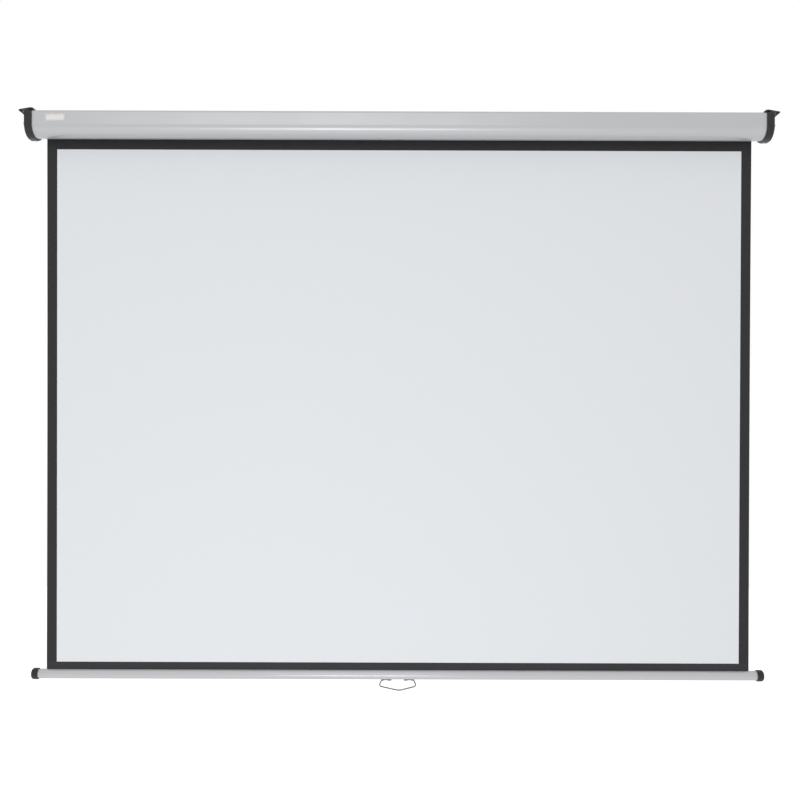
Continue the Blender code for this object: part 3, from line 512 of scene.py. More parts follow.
screw_zinc = plated("screw_zinc_plate", (0.66, 0.66, 0.67), (0.5, 0.5, 0.52), 0.3, 2400.0)
clip_zinc = plated("clip_zinc_plate", (0.78, 0.78, 0.8), (0.62, 0.62, 0.64), 0.3, 2400.0)
# Painted dark reflection: the wire's base colour is set dark, so it looks as a bright wire does when
# it mirrors dark surroundings.
wire_painted_dark_reflection = plated("handle_wire_steel", (0.14, 0.14, 0.15), (0.10, 0.10, 0.11), 0.24, 1800.0)
roller_steel = plated("roller_rolled_steel", (0.52, 0.53, 0.55), (0.4, 0.41, 0.43), 0.38, 1300.0)
dark_steel = plated("dark_steel", (0.3, 0.3, 0.31), (0.2, 0.2, 0.21), 0.42, 1500.0)
spring_steel = plated("spring_blued_steel", (0.36, 0.37, 0.4), (0.22, 0.22, 0.24), 0.36, 1900.0)
print("made six metals")

# %% [markdown]
# ### Cloth
# The screen is one sheet: glass fibre weave with a matt white coat at the front, black at the
# back, and a black frame printed on the white. The frame could be a piece of its own, but it has
# no thickness, so it is a mask made from the cloth's own UV map, in metres, and stays on the cloth
# when the cloth rolls up. The black back is faintly dusty here and there.

# %% Cloth finishes
PICTURE_HALF = 750 * MM
PICTURE_TOP = -43.7 * MM
CLOTH_WHITE = (0.78, 0.80, 0.83)
CLOTH_BLACK = (0.020, 0.020, 0.022)


def coated_cloth(name, colour, worn, roughness, threads, weave_depth):
    """Matt coated weave: threads in low relief, with the coat's fine grain over them."""
    made = Finish(name, colour, roughness, shine=0.3)
    threads_height = made.effect(weave, "Height", Threads_per_metre=threads)
    made.tint(threads_height, worn, share=0.5)
    made.bump(threads_height, weave_depth, 0.5)
    made.bump(made.effect(grain, "Height", Cells_per_metre=700.0), 0.05 * MM, 0.35)
    return made


black = coated_cloth(
    "black_cloth", CLOTH_BLACK, (0.034, 0.034, 0.037), 0.62, 1100.0, 0.05 * MM
)
dusty = black.effect(marks, "Mask", Clouds_per_metre=5.0, Fineness=4.0)
black.tint(dusty, (0.040, 0.040, 0.044), share=0.55)
black.polish(dusty, 0.57, 0.68)
black_cloth = black.material

white = coated_cloth(
    "white_cloth_black_frame", CLOTH_WHITE, (0.75, 0.77, 0.80), 0.75, 1400.0, 0.02 * MM
)
across, up = place_on_cloth(white.tree)
from_middle = math_node(white.tree, "ABSOLUTE", across)
at_side = math_node(white.tree, "GREATER_THAN", from_middle, PICTURE_HALF)
at_top = math_node(white.tree, "GREATER_THAN", up, PICTURE_TOP)
printed = math_node(white.tree, "MAXIMUM", at_side, at_top)
white.tint(printed, CLOTH_BLACK)
white.polish(printed, 0.75, 0.6)
white_cloth = white.material
print("made", white_cloth.name, "and", black_cloth.name)

# %% [markdown]
# ## The case
# On the real screen this is one aluminium extrusion: a flat back on the wall, a flat top and
# front, a small round corner above and a big round one below, and a slot at the rear of the
# underside that the cloth comes through. It could be cut from a block, but a section is quicker
# to follow: start with the back wall as a plane, then carry its top edge round the section by
# extruding the flats and spinning the corners. The big corner is deeper than it is high, so it is
# spun round and then pressed a little flatter. A Solidify gives the wall its 1.5 mm.

# %% The case's cover
CASE_HALF = 797.2 * MM
CASE_TOP = 27 * MM
CASE_FRONT = -69 * MM
CASE_WALL = 1.5 * MM
CURVE_TOP = -1.5 * MM
CURVE_DEPTH = 28 * MM
CURVE_HEIGHT = 25.5 * MM
REAR_CORNER = 2 * MM
FRONT_CORNER = 5 * MM
BACK_FOOT = -17 * MM
BACK_HEIGHT = CASE_TOP - REAR_CORNER - BACK_FOOT

case_cover = add("plane", "case_cover", size=1, rotation=(math.pi / 2, 0, 0))
edit(case_cover)
take_all()
bpy.ops.transform.resize(value=(2 * CASE_HALF, 1, BACK_HEIGHT))
bpy.ops.transform.translate(value=(0, 0, BACK_FOOT + BACK_HEIGHT / 2))
near_top = CASE_TOP - 1.5 * REAR_CORNER
pick(case_cover, "EDGE", lambda at, edge: at.z > near_top and abs(at.x) < MM)
sweep((0, -REAR_CORNER, CASE_TOP - REAR_CORNER), 90, steps=5)
extrude(y=CASE_FRONT + REAR_CORNER + FRONT_CORNER)
sweep((0, CASE_FRONT + FRONT_CORNER, CASE_TOP - FRONT_CORNER), 90, steps=10)
extrude(z=CURVE_TOP - (CASE_TOP - FRONT_CORNER))
CURVE_REAR = CASE_FRONT + CURVE_DEPTH
sweep((0, CURVE_REAR, CURVE_TOP), 90, steps=32)
pick(
    case_cover,
    "VERT",
    lambda at, vert: at.z < CURVE_TOP - 10 * CLOSE and at.y < CURVE_REAR + 10 * CLOSE,
)
bpy.ops.transform.resize(
    value=(1, 1, CURVE_HEIGHT / CURVE_DEPTH), center_override=(0, 0, CURVE_TOP)
)
done()
print("section so far:", *in_mm(box_of(case_cover), 2), "mm")

# %% The underside and the lip beside the cloth's slot
LIP_FOOT = (-35 * MM, -27 * MM)
LIP_END = (-14 * MM, -21 * MM)
edit(case_cover)
pick(
    case_cover,
    "EDGE",
    lambda at, edge: abs(at.y - CURVE_REAR) < CLOSE and at.z < 0 and abs(at.x) < MM,
)
extrude(y=LIP_FOOT[0] - CURVE_REAR)
extrude(y=LIP_END[0] - LIP_FOOT[0], z=LIP_END[1] - LIP_FOOT[1])
done()
outward(case_cover)
apply(case_cover, "SOLIDIFY", thickness=CASE_WALL, offset=-1.0, use_even_offset=True)
print("cover:", *in_mm(box_of(case_cover), 2), "mm")

# %% [markdown]
# Two screw channels run inside the case, where the end caps' screws bite. Each is an open ring
# with its mouth away from the wall it grows from. A tube could be cut open, but an edge spun most
# of the way round the channel's middle, then thickened, has its mouth already. The bar's tube and
# the clips start from one edge too, so that start is a helper.

# %% Screw channels
CHANNEL_RADIUS = 3.0 * MM
CHANNEL_WALL = 1.6 * MM
CHANNEL_MOUTH = 70
UPPER_SCREW = (-12 * MM, 22.3 * MM)
LOWER_SCREW = (-64.3 * MM, -1.5 * MM)


def edge_along_x(name, at, length):
    """One edge along x, open in edit mode and selected: a plane pressed flat and merged."""
    piece = add("plane", name, size=1, location=at)
    edit(piece)
    take_all()
    bpy.ops.transform.resize(value=(length, 0.0, 1))
    bpy.ops.mesh.remove_doubles(threshold=10 * CLOSE)
    return piece


def screw_channel(name, middle_at, facing):
    """One screw channel with its mouth facing the given angle in degrees, from y towards z."""
    y, z = middle_at
    start = math.radians(facing + CHANNEL_MOUTH / 2)
    at = (0, y + CHANNEL_RADIUS * math.cos(start), z + CHANNEL_RADIUS * math.sin(start))
    channel = edge_along_x(name, at, 2 * CASE_HALF)
    sweep((0, y, z), 360 - CHANNEL_MOUTH, steps=20)
    done()
    outward(channel)
    apply(channel, "SOLIDIFY", thickness=CHANNEL_WALL, offset=0.0)
    return channel


channels = [
    screw_channel("upper_channel", UPPER_SCREW, 270),
    screw_channel("lower_channel", LOWER_SCREW, 0),
]
only(case_cover)
for channel in channels:
    channel.select_set(True)
bpy.ops.object.join()
soften(case_cover, 30)
place(case_cover, "case", "case_silver", case_paint, "case_shell")

# %% [markdown]
# ## End caps
# Each end cap is a plastic moulding: a cup over the end of the case, with an ear at the top that
# carries two slots, one for a wall and one for a ceiling. It could be modelled anew, but the
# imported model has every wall, slot and groove of it already. What a real moulding has besides is a
# small radius on each edge, which catches the light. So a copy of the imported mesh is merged, its
# flat faces are joined, and its sharp edges get a fine bevel, apart from those that are out of
# sight or too close together for one. Weighted normals keep the large flat faces flat.


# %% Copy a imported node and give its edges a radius
def copied(name, node):
    """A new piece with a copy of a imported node's mesh, merged and with its flat faces joined."""
    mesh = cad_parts[node].data.copy()
    piece = bpy.data.objects.new(name, mesh)
    mesh.name = name
    bpy.context.scene.collection.objects.link(piece)
    edit(piece)
    take_all()
    bpy.ops.mesh.remove_doubles(threshold=0.005 * MM)
    bpy.ops.mesh.dissolve_limited(angle_limit=math.radians(1.0))
    done()
    return piece


CAP_SHARP = 40
EDGE_RADIUS = 0.35 * MM
CUP_MOUTH = 785.5 * MM
CUP_FLOOR = 797.7 * MM
WINDOW_START = 803.7 * MM
WINDOW_REAR = -50 * MM
WINDOW_FRONT = -58 * MM
WINDOW_FOOT = 19 * MM
BRACE_LINE = 787 * MM
HOLE_END = 803 * MM
HOLE_REACH = 4 * MM
CORNER_UNDER_EAR = (-65 * MM, 28.8 * MM)
CORNER_REACH = 1.6 * MM


def edge_on_show(at, edge):
    """Whether an edge of a cap is sharp, in sight, and has room for a radius."""
    if len(edge.link_faces) != 2 or edge.calc_face_angle() < math.radians(CAP_SHARP):
        return False
    out = abs(at.x)
    in_cup = CUP_MOUTH < out < CUP_FLOOR
    in_window = (
        WINDOW_FRONT < at.y < WINDOW_REAR
        and at.z > WINDOW_FOOT
        and WINDOW_START < out < BRACE_LINE + at.z
    )
    near = [math.hypot(at.y - y, at.z - z) for y, z in (UPPER_SCREW, LOWER_SCREW)]
    in_hole = out <= HOLE_END and min(near) < HOLE_REACH
    y, z = CORNER_UNDER_EAR
    at_corner = math.hypot(at.y - y, at.z - z) < CORNER_REACH
    return not (in_cup or in_window or in_hole or at_corner)


for hand in ("left", "right"):
    cap = copied(f"{hand}_cap_moulding", f"{hand}_end_cap")
    edit(cap)
    print(pick(cap, "EDGE", edge_on_show), "edges get a radius")
    bpy.ops.mesh.bevel(offset=EDGE_RADIUS, segments=2, profile=0.5, clamp_overlap=False)
    take_all()
    bpy.ops.mesh.remove_doubles(threshold=0.005 * MM)
    done()
    soften(cap, CAP_SHARP)
    apply(cap, "WEIGHTED_NORMAL", keep_sharp=True)
    place(cap, "case", "cap_plastic", cap_plastic, f"{hand}_end_cap")

# %% [markdown]
# ## Screws in the end caps
# Four pan-head screws hold the caps to the channels. One is modelled: a cylinder for the head
# with a wide bevel on its outer edge. Its inner face is inset and extruded for the shank and its
# point. The cross in the head is cut with one Boolean, because a recess made of insets would need
# a head made of small squares. The cutter is a cube whose four sides are extruded into arms. The
# screws in the case are copies of this one, two of them mirrored. The caps on the bar start from
# the same rounded disc, so that start is a helper.

# %% One screw, lying along x with its head's seat at x = 0
HEAD_RADIUS = 3.9 * MM
HEAD_HEIGHT = 2.5 * MM
HEAD_ROUND = 1.5 * MM
SHANK_RADIUS = 1.9 * MM
SCREW_LENGTH = 16 * MM
CROSS_LENGTH = 4.4 * MM
CROSS_WIDTH = 1.0 * MM
CROSS_DEPTH = 1.3 * MM

ALONG_X = (0, math.pi / 2, 0)


def rounded_disc(name, vertices, radius, start, end, rounding, segments):
    """A disc along x with a round outer rim, in edit mode with its inner face picked."""
    disc = add(
        "cylinder",
        name,
        vertices=vertices,
        radius=radius,
        depth=end - start,
        location=((start + end) / 2, 0, 0),
        rotation=ALONG_X,
    )
    edit(disc)
    pick(disc, "EDGE", lambda at, edge: all(v.co.x > end - CLOSE for v in edge.verts))
    bpy.ops.mesh.bevel(offset=rounding, segments=segments, profile=0.5)
    pick(disc, "FACE", lambda at, face: face.normal.x < -0.9)
    return disc


screw = rounded_disc("screw_form", 32, HEAD_RADIUS, 0, HEAD_HEIGHT, HEAD_ROUND, 6)
bpy.ops.mesh.inset(thickness=HEAD_RADIUS - SHANK_RADIUS)
extrude(x=-(SCREW_LENGTH - SHANK_RADIUS))
bpy.ops.mesh.inset(thickness=CLOSE)
extrude(x=-SHANK_RADIUS)
bpy.ops.transform.resize(value=(1, 0.5, 0.5))
done()
cross = add(
    "cube",
    "cross_form",
    size=1,
    location=(HEAD_HEIGHT, 0, 0),
    scale=(2 * CROSS_DEPTH, CROSS_WIDTH, CROSS_WIDTH),
)
edit(cross)
arm = (CROSS_LENGTH - CROSS_WIDTH) / 2
for step_y, step_z in ((arm, 0), (-arm, 0), (0, arm), (0, -arm)):
    pick(
        cross,
        "FACE",
        lambda at, face: face.normal.y * step_y + face.normal.z * step_z > 0.9 * arm
        and math.hypot(at.y, at.z) < CROSS_WIDTH,
    )
    extrude(y=step_y, z=step_z)
done()
apply(screw, "BOOLEAN", object=cross, operation="DIFFERENCE", solver="EXACT")
bpy.data.objects.remove(cross)
soften(screw, 40)
print("screw form", len(screw.data.polygons), "faces")


# %% Copies of a form, each with its own mesh, mirrored or turned where it goes
def copy_of(form, name, at=(0, 0, 0), turn=0.0, mirror_x=False):
    """A copy with its own mesh: mirrored in x if asked, turned round x, then moved."""
    piece = bpy.data.objects.new(name, form.data.copy())
    piece.data.name = name
    bpy.context.scene.collection.objects.link(piece)
    piece.scale = (-1 if mirror_x else 1, 1, 1)
    piece.rotation_euler = (turn, 0, 0)
    piece.location = at
    only(piece)
    bpy.ops.object.transform_apply(location=True, rotation=True, scale=True)
    if mirror_x:
        edit(piece)
        take_all()
        bpy.ops.mesh.normals_make_consistent(inside=False)
        done()
    return piece


HEAD_SEAT = 801.8 * MM
SIDES = (("left", -1), ("right", 1))
SCREWS = (("upper", UPPER_SCREW, 0.35), ("lower", LOWER_SCREW, 0.9))
for hand, side in SIDES:
    for height, (y, z), driven in SCREWS:
        name = f"{hand}_{height}_screw"
        made = copy_of(screw, name, (side * HEAD_SEAT, y, z), side * driven, side < 0)
        place(made, "case", "screw_zinc", screw_zinc, f"{hand}_{height}_cap_screw")
bpy.data.objects.remove(screw)

# %% [markdown]
# ## The plate on the case's front
# A small plate sits at the left of the front. This one is blank: a thin satin plate with round
# corners and a fine frame printed on its face. It could be a patch of colour on the case, but a
# plate with its own edge catches the light. Cuts along both sides of the frame's line part the
# face, so that its strips can take the ink.

# %% Blank plate
label_film = Finish("plate_film", (0.80, 0.79, 0.76), 0.4)
label_film.bump(label_film.effect(grain, "Height", Cells_per_metre=1800.0), 0.02 * MM, 0.4)
cloud = label_film.effect(marks, "Mask", Clouds_per_metre=80.0)
label_film.tint(cloud, (0.74, 0.73, 0.70), share=0.5)
frame_ink = Finish("plate_frame_ink", (0.2, 0.2, 0.21), 0.5)
frame_ink.tint(frame_ink.effect(grain, "Height", Cells_per_metre=1200.0), (0.28, 0.28, 0.29))

PLATE_MIDDLE = (-735.3 * MM, -69.5 * MM, 11 * MM)
PLATE_SIZE = (42 * MM, 0.4 * MM, 16 * MM)
PLATE_ROUND = 1 * MM
RIM_WIDTH = 0.12 * MM
RIM_STEP = 0.08 * MM
FRAME_INSET = 1.2 * MM
FRAME_WIDTH = 0.7 * MM
plate = add("cube", "front_plate", size=1, location=PLATE_MIDDLE, scale=PLATE_SIZE)
edit(plate)
pick(plate, "EDGE", lambda at, edge: abs(edge.verts[0].co.y - edge.verts[1].co.y) > 0.1 * MM)
bpy.ops.mesh.bevel(offset=PLATE_ROUND, segments=5, profile=0.5)
pick(plate, "FACE", lambda at, face: face.normal.y < -0.9)
bpy.ops.mesh.inset(thickness=RIM_WIDTH)
bpy.ops.transform.translate(value=(0, -RIM_STEP, 0))
for inside in (FRAME_INSET, FRAME_INSET + FRAME_WIDTH):
    for sign in (-1, 1):
        for half, along in ((PLATE_SIZE[0] / 2, 0), (PLATE_SIZE[2] / 2, 2)):
            cut = list(PLATE_MIDDLE)
            cut[along] += sign * (half - inside)
            normal = [0, 0, 0]
            normal[along] = 1
            pick(plate, "FACE", lambda at, face: face.normal.y < -0.99)
            bpy.ops.mesh.bisect(plane_co=cut, plane_no=normal)
done()
soften(plate, 30)
place(plate, "case", "label_film", [label_film.material, frame_ink.material], "front_label")
for face in plate.data.polygons:
    from_edge = min(
        PLATE_SIZE[0] / 2 - abs(face.center.x - PLATE_MIDDLE[0]),
        PLATE_SIZE[2] / 2 - abs(face.center.z - PLATE_MIDDLE[2]),
    )
    if face.normal.y < -0.99 and 0 < from_edge - FRAME_INSET < FRAME_WIDTH:
        face.material_index = 1
print("frame faces", sum(face.material_index for face in plate.data.polygons))

# %% [markdown]
# ## The bar's tube
# The bar is a round tube with a slot along its top, where the cloth's hem slides in. A cylinder
# would have to be cut open. Instead an edge that starts at one side of the slot is spun round the
# bar's axis to the other side, and thickened inwards. The slot's lips get a small bevel, as rolled
# edges have.

# %% Slotted tube
BAR_Y = -13 * MM
BAR_Z = -1195.2 * MM
BAR_RADIUS = 10.5 * MM
BAR_WALL = 1.2 * MM
BAR_END = 800.7 * MM
SLOT_WIDTH = 2 * MM
LIP_ROUND = 0.25 * MM
to_lip = math.degrees(math.asin(SLOT_WIDTH / 2 / BAR_RADIUS))
print("each lip is", round(to_lip, 2), "degrees from the top")

bar_tube = edge_along_x("slotted_bar_tube", (0, BAR_Y, BAR_Z + BAR_RADIUS), 2 * BAR_END)
bpy.ops.transform.rotate(
    value=math.radians(-to_lip), orient_axis="X", center_override=(0, BAR_Y, BAR_Z)
)
sweep((0, BAR_Y, BAR_Z), 360 - 2 * to_lip, steps=96)
done()
outward(bar_tube)
apply(bar_tube, "SOLIDIFY", thickness=BAR_WALL, offset=-1.0)
round_edges(bar_tube, LIP_ROUND, segments=2, sharper_than=50)
soften(bar_tube, 30)
place(bar_tube, "bottom_bar", "bar_silver", bar_paint, "bottom_bar_tube")

# %% [markdown]
# ## Caps on the bar's ends
# Each end of the bar has a round plastic cap with a generous radius. It is a cup over the tube
# with a spigot inside it. A profile could be spun, but on a disc each step of the moulding shows:
# its inner face is inset and pushed in for the cup, and inset and pulled out again for the spigot.
# The cup's rim is raised by its chamfer, so the cap is moved back by as much at the end.

# %% Bar caps
CAP_RADIUS = 12.4 * MM
CAP_ROUND = 6 * MM
CAP_SHOULDER = 789 * MM
CAP_END = 804 * MM
RIM_INSET = 0.4 * MM
RIM_CHAMFER = 0.3 * MM
CUP_RADIUS = 10.8 * MM
CUP_DEPTH = 12 * MM
SPIGOT_RADIUS = 9.0 * MM
SPIGOT_LENGTH = 18 * MM

bar_cap = rounded_disc("bar_cap_form", 72, CAP_RADIUS, CAP_SHOULDER, CAP_END, CAP_ROUND, 12)
bpy.ops.mesh.inset(thickness=RIM_INSET)
bpy.ops.transform.translate(value=(-RIM_CHAMFER, 0, 0))
bpy.ops.mesh.inset(thickness=CAP_RADIUS - CUP_RADIUS - 2 * RIM_INSET)
bpy.ops.mesh.inset(thickness=RIM_INSET)
bpy.ops.transform.translate(value=(RIM_CHAMFER, 0, 0))
extrude(x=CUP_DEPTH)
bpy.ops.mesh.inset(thickness=CUP_RADIUS - SPIGOT_RADIUS)
extrude(x=-SPIGOT_LENGTH)
take_all()
bpy.ops.transform.translate(value=(RIM_CHAMFER, 0, 0))
done()
soften(bar_cap, 40)
for hand, side in SIDES:
    made = copy_of(bar_cap, f"{hand}_round_bar_cap", (0, BAR_Y, BAR_Z), 0.0, side < 0)
    place(made, "bottom_bar", "bar_cap_plastic", bar_cap_plastic, f"{hand}_bar_cap")
bpy.data.objects.remove(bar_cap)

# %% [markdown]
# ## The wire handle
# The handle is one piece of round wire. Its two ends turn inwards and lie in the clips as hinge
# pins. From there it runs out, down and a little outwards, then back along a shallow V whose foot
# is slightly right of the middle. A bevelled curve would do, but here the wire is bent as a maker
# bends it: a circle is carried along the path, extruded where the wire is straight, and spun round
# the radius of each bend.

# %% Bend the wire
WIRE_RADIUS = 1.4 * MM
WIRE_END_ROUND = 0.4 * MM
HINGE_Z = BAR_Z - 12.2 * MM
# The corners in x and z from the hinge, and the radius of the bend at each, all in millimetres.
WIRE_CORNERS = [(-13.5, 0), (-35.5, 0), (-41.2, -13), (3, -22.9), (41.2, -13), (35.5, 0), (13.5, 0)]
WIRE_BENDS = [3, 4.5, 30, 4.5, 3]
BEND_STEP = 7


def heading(start, end):
    """The direction from one corner to the next, in x and z, and how far it is."""
    far = math.hypot(end[0] - start[0], end[1] - start[1])
    return (end[0] - start[0]) / far, (end[1] - start[1]) / far, far


handle = add(
    "circle",
    "wire_handle",
    vertices=16,
    radius=WIRE_RADIUS,
    location=(WIRE_CORNERS[0][0] * MM, BAR_Y, HINGE_Z),
    rotation=ALONG_X,
)
edit(handle)
bpy.ops.mesh.select_mode(type="EDGE")
take_all()
gone = 0.0
for before, corner, after, radius in zip(
    WIRE_CORNERS, WIRE_CORNERS[1:], WIRE_CORNERS[2:], WIRE_BENDS
):
    in_x, in_z, far = heading(before, corner)
    out_x, out_z, _ = heading(corner, after)
    turn = math.degrees(math.asin(in_x * out_z - in_z * out_x))
    if in_x * out_x + in_z * out_z < 0:
        turn = math.copysign(180, turn) - turn
    cut = radius * math.tan(math.radians(abs(turn)) / 2)
    run = far - gone - cut
    extrude(x=in_x * run * MM, z=in_z * run * MM)
    hand_side = math.copysign(1, turn)
    centre_x = corner[0] - in_x * cut - in_z * radius * hand_side
    centre_z = corner[1] - in_z * cut + in_x * radius * hand_side
    sweep(
        (centre_x * MM, BAR_Y, HINGE_Z + centre_z * MM),
        -turn,
        axis=(0, 1, 0),
        steps=max(4, round(abs(turn) / BEND_STEP)),
    )
    gone = cut
in_x, in_z, far = heading(WIRE_CORNERS[-2], WIRE_CORNERS[-1])
extrude(x=in_x * (far - gone) * MM, z=in_z * (far - gone) * MM)
bpy.ops.mesh.select_mode(type="EDGE")
bpy.ops.mesh.select_all(action="DESELECT")
bpy.ops.mesh.select_non_manifold()
bpy.ops.mesh.edge_face_add()
done()
outward(handle)
round_edges(handle, WIRE_END_ROUND, segments=3, sharper_than=60)
soften(handle, 40)
# The wire's finish carries the painted dark reflection.
place(handle, "handle", "handle_wire", wire_painted_dark_reflection, "pull_handle")

# %% [markdown]
# ## Clips and rivets
# Two hooked strips of zinc-plated steel hold the wire. Each lies on the rear of the bar's
# underside, where a rivet holds it, and curls forward round the wire. A flat strip could be bent
# with a modifier, but an edge spun round the bar, then round the wire, follows both exactly. The
# free corners are rounded before the strip is thickened. The rivet is a low cylinder with a
# rounded rim, inset and extruded at its foot for the shank.

# %% One clip
CLIP_WIDTH = 10 * MM
CLIP_THICK = 0.8 * MM
CLIP_CORNER = 1.4 * MM
CLIP_EDGE = 0.15 * MM
ON_BAR = 11.2 * MM
ROUND_WIRE = 2.1 * MM
LIES_FROM = -40
LIES_TO = -76
CURL_FROM = -10
CURL = 185


def round_axis(axis_z, radius, degrees):
    """The point in y and z at an angle round the bar's axis or the hinge's, from y towards z."""
    angle = math.radians(degrees)
    return BAR_Y + radius * math.cos(angle), axis_z + radius * math.sin(angle)


clip = edge_along_x("clip_form", (0, *round_axis(BAR_Z, ON_BAR, LIES_FROM)), CLIP_WIDTH)
sweep((0, BAR_Y, BAR_Z), LIES_TO - LIES_FROM, steps=8)
leaves_bar = round_axis(BAR_Z, ON_BAR, LIES_TO)
meets_wire = round_axis(HINGE_Z, ROUND_WIRE, CURL_FROM)
extrude(y=meets_wire[0] - leaves_bar[0], z=meets_wire[1] - leaves_bar[1])
sweep((0, BAR_Y, HINGE_Z), -CURL, steps=18)
done()
outward(clip)
edit(clip)
upper_end = max(vert.co.z for vert in clip.data.vertices)
pick(clip, "VERT", lambda at, vert: at.z > upper_end - CLOSE)
bpy.ops.mesh.bevel(offset=CLIP_CORNER, segments=4, affect="VERTICES")
done()
apply(clip, "SOLIDIFY", thickness=CLIP_THICK, offset=0.0)
round_edges(clip, CLIP_EDGE, segments=2, sharper_than=50)
soften(clip, 35)
print("clip form", len(clip.data.polygons), "faces")

# %% One rivet, upright, its seat at z = 0
RIVET_RADIUS = 2.4 * MM
RIVET_HEAD = 0.9 * MM
RIVET_ROUND = 0.75 * MM
RIVET_SHANK_RADIUS = 1.3 * MM
RIVET_SHANK = 2.7 * MM
rivet = add(
    "cylinder",
    "rivet_form",
    vertices=32,
    radius=RIVET_RADIUS,
    depth=RIVET_HEAD,
    location=(0, 0, RIVET_HEAD / 2),
)
edit(rivet)
pick(rivet, "EDGE", lambda at, edge: all(v.co.z > RIVET_HEAD - CLOSE for v in edge.verts))
bpy.ops.mesh.bevel(offset=RIVET_ROUND, segments=5, profile=0.5)
pick(rivet, "FACE", lambda at, face: face.normal.z < -0.9)
bpy.ops.mesh.inset(thickness=RIVET_RADIUS - RIVET_SHANK_RADIUS)
extrude(z=-RIVET_SHANK)
done()
soften(rivet, 40)
print("rivet form", len(rivet.data.polygons), "faces")

# %% Clips and rivets in place
CLIP_PLACE = 26 * MM
RIVET_ANGLE = -53
RIVET_SEAT = 11.9 * MM
for hand, side in SIDES:
    x = side * CLIP_PLACE
    made = copy_of(clip, f"{hand}_hooked_clip", (x, 0, 0))
    place(made, "bottom_bar", "clip_zinc", clip_zinc, f"{hand}_handle_clip")
    seat = (x, *round_axis(BAR_Z, RIVET_SEAT, RIVET_ANGLE))
    made = copy_of(rivet, f"{hand}_domed_rivet", seat, math.radians(RIVET_ANGLE - 90))
    place(made, "bottom_bar", "clip_zinc", clip_zinc, f"{hand}_clip_rivet")
for form in (clip, rivet):
    bpy.data.objects.remove(form)

# %% [markdown]
# ## The cloth
# The cloth is one sheet 1544 mm wide. It comes off the back of the roll, hangs through the slot,
# and ends in a hem round a rod inside the bar. It could be one mesh, but it moves in three ways:
# the turns on the roller turn with it, the hanging part shortens as it is rolled up, and its foot
# moves with the bar. So it is three sheets that meet edge to edge.
#
# Each is a grid that is thickened. A UV map in metres, set before it is shaped, keeps the weave
# and the printed frame on the cloth. A long sheet never hangs quite flat: its side edges curl
# back a little between the roller and the bar.

# %% Cloth helpers
CLOTH_WIDTH = 1544 * MM
CLOTH_THICK = 0.35 * MM
CLOTH_Y = -13 * MM
print("the cloth hangs at y", CLOTH_Y / MM, "mm, over the bar's axis")


def cloth_grid(name, across, down, height, top):
    """A grid of cloth in the x-z plane, with a UV map in metres, x across and z up."""
    sheet = add(
        "grid",
        name,
        x_subdivisions=across,
        y_subdivisions=down,
        size=1,
        rotation=(math.pi / 2, 0, 0),
    )
    edit(sheet)
    take_all()
    bpy.ops.transform.resize(value=(CLOTH_WIDTH, 1, height))
    bpy.ops.transform.translate(value=(0, CLOTH_Y, top - height / 2))
    done()
    for layer in list(sheet.data.uv_layers):
        sheet.data.uv_layers.remove(layer)
    uv = sheet.data.uv_layers.new(name="cloth")
    for loop in sheet.data.loops:
        at = sheet.data.vertices[loop.vertex_index].co
        uv.data[loop.index].uv = (at.x, at.z)
    return sheet


def thicken(sheet):
    """Gives a sheet its thickness, half to each side."""
    apply(sheet, "SOLIDIFY", thickness=CLOTH_THICK, offset=0.0, use_even_offset=True)
    soften(sheet, 40)


def black_behind(sheet):
    """The second material, for the faces that look at the wall and the cut edges."""
    for face in sheet.data.polygons:
        face.material_index = 0 if face.normal.y < -0.5 else 1


# %% The hanging sheet
SHEET_FOOT = -1168.7 * MM
CURL_DEPTH = 2.2 * MM
CURL_WIDTH = 45 * MM
CURL_STARTS = 0.03
CURL_LASTS = 0.95
sheet = cloth_grid("hanging_cloth", 120, 60, -SHEET_FOOT, 0.0)
for vert in sheet.data.vertices:
    share = (vert.co.z / SHEET_FOOT - CURL_STARTS) / CURL_LASTS
    free = math.sin(math.pi * min(1.0, max(0.0, share))) ** 0.8
    from_edge = CLOTH_WIDTH / 2 - abs(vert.co.x)
    curl = max(0.0, 1 - from_edge / CURL_WIDTH) ** 2
    vert.co.y += CURL_DEPTH * curl * free
thicken(sheet)
black_behind(sheet)
indices = [face.material_index for face in sheet.data.polygons]
place(sheet, "case", "cloth_white", [white_cloth, black_cloth], "screen_cloth")
for face, index in zip(sheet.data.polygons, indices):
    face.material_index = index
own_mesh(sheet)

# %% [markdown]
# The foot of the cloth is the black strip under the picture. It goes down through the bar's slot,
# round the hem rod, and back up behind itself, where it is welded on. Its path is a line of
# points in y and z from the bar's axis, in millimetres. A simulation would find a fold of its own,
# and this one has to fit the rod and the slot, so the grid's rows are moved onto the path by their
# length along it. That bends the cloth and doesn't stretch it.

# %% The foot and its hem
ROD_Z = 5.85
LOOP_RADIUS = 2.74
LOOP_FROM = 136.3
LOOP_TO = 403.7
LOOP_STEPS = 22
hem_path = [(0, 26.5), (0, 23), (0, 20), (-0.08, 17.5), (-0.17, 15), (-0.19, 13), (-0.19, 9.6)]
for step in range(LOOP_STEPS + 1):
    angle = math.radians(LOOP_FROM + (LOOP_TO - LOOP_FROM) * step / LOOP_STEPS)
    hem_path.append((LOOP_RADIUS * math.cos(angle), ROD_Z + LOOP_RADIUS * math.sin(angle)))
hem_path += [(0.19, 9.6), (0.19, 13), (0.22, 15), (0.3, 18)]


def along_path(path, gone):
    """The point at a length along a path of points."""
    for (y1, z1), (y2, z2) in zip(path, path[1:]):
        far = math.hypot(y2 - y1, z2 - z1)
        if gone <= far:
            return y1 + (y2 - y1) * gone / far, z1 + (z2 - z1) * gone / far
        gone -= far
    return path[-1]


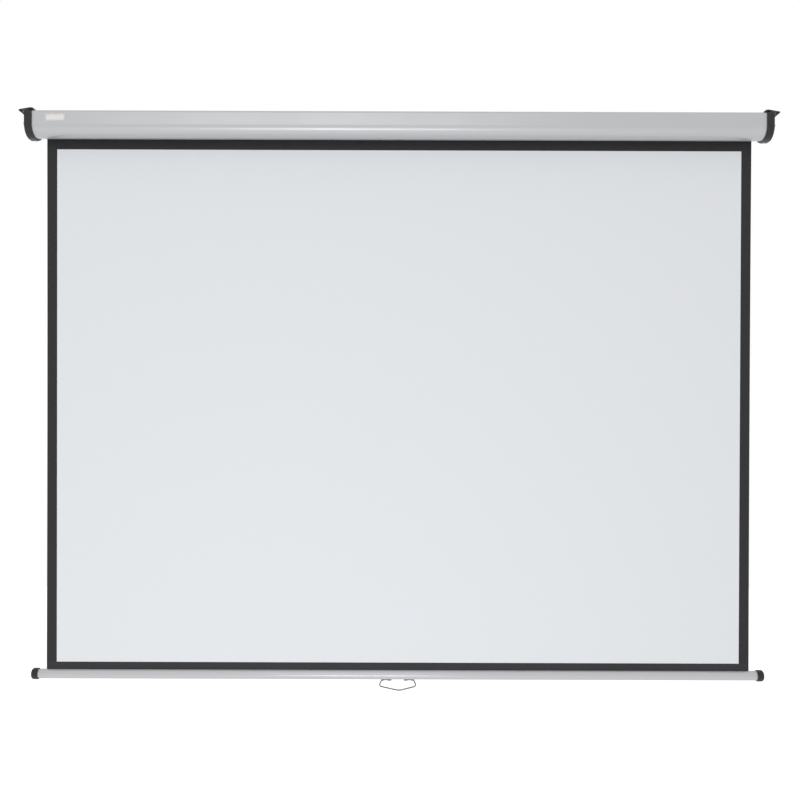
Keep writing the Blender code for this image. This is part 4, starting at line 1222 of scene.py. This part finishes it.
hem_length = sum(math.hypot(b[0] - a[0], b[1] - a[1]) for a, b in zip(hem_path, hem_path[1:]))
foot = cloth_grid("cloth_foot", 24, 160, hem_length * MM, SHEET_FOOT)
for vert in foot.data.vertices:
    y, z = along_path(hem_path, (SHEET_FOOT - vert.co.z) / MM)
    vert.co.y = BAR_Y + y * MM
    vert.co.z = BAR_Z + z * MM
thicken(foot)
place(foot, "bottom_bar", "cloth_black", black_cloth, "cloth_hem")

# %% [markdown]
# Two and a quarter turns stay on the roller when the screen is down, as on the real one, so that
# the cloth never pulls at its glued edge. A coil could be swept along a spiral curve, but the grid
# keeps its UV map, so its rows are moved onto the spiral as they were onto the hem's path.

# %% The turns that stay on the roller
ROLLER_Y = -28.475 * MM
FIRST_RADIUS = 14.5 * MM
LAST_RADIUS = CLOTH_Y - ROLLER_Y
TURNS = 2.25
turns_length = TURNS * math.pi * (FIRST_RADIUS + LAST_RADIUS)
roll = cloth_grid("wound_cloth", 16, 216, turns_length, turns_length)
for vert in roll.data.vertices:
    share = vert.co.z / turns_length
    radius = LAST_RADIUS + (FIRST_RADIUS - LAST_RADIUS) * share
    angle = 2 * math.pi * TURNS * share
    vert.co.y = ROLLER_Y + radius * math.cos(angle)
    vert.co.z = radius * math.sin(angle)
thicken(roll)
place(roll, "roller", "cloth_white", black_cloth, "cloth_roll")

# %% [markdown]
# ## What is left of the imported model
# The roller, its plugs, the spring and the ratchet are inside the case and the tube. They could be
# modelled again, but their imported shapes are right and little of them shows, so they stay, and
# each gets the finish of what it is made of.

# %% Finishes for the pieces inside
INSIDE = {
    roller_steel: ["roller_tube", "hem_rod"],
    dark_steel: ["spring_spindle", "ratchet_hub", "upper_pawl", "lower_pawl"],
    spring_steel: ["torsion_spring"],
    plug_nylon: ["idler_end_plug", "spring_end_plug", "spring_anchor"],
    screw_zinc: ["idler_pin", "upper_pawl_pin", "lower_pawl_pin"],
}
for finish, nodes in INSIDE.items():
    for node in nodes:
        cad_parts[node].data.materials.clear()
        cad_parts[node].data.materials.append(finish)
shown = [name for name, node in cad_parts.items() if not node.hide_render]
finished = sum(INSIDE.values(), [])
print("packed nodes without a finish:", [name for name in shown if name not in finished])

# %% [markdown]
# ## Floor
# A plain white floor, 1.2 m under the bar. Lit white paint alone would look grey beside the white
# world, so the camera and reflections see a glow added to it. It keeps the screen's faint shadow,
# because the glow is only a part of what they see.

# %% Floor
FLOOR_Z = -2.4
FLOOR_SIZE = 14
FLOOR_GLOW = 0.5
floor = add("plane", "studio_floor", size=FLOOR_SIZE, location=(0, 0, FLOOR_Z))
edit(floor)
take_all()
bpy.ops.mesh.subdivide(number_cuts=3)
done()
pale = Finish("floor_white", (0.88, 0.88, 0.88), 0.9)
pale.tint(pale.effect(marks, "Mask", Clouds_per_metre=0.7), (0.87, 0.87, 0.87))
glow = math_node(pale.tree, "MULTIPLY", looked_at(pale.tree), FLOOR_GLOW)
pale.tree.links.new(glow, pale.shader.inputs["Emission Strength"])
pale.shader.inputs["Emission Color"].default_value = (1.0, 1.0, 1.0, 1.0)
floor.data.materials.append(pale.material)
print("floor at z", FLOOR_Z)
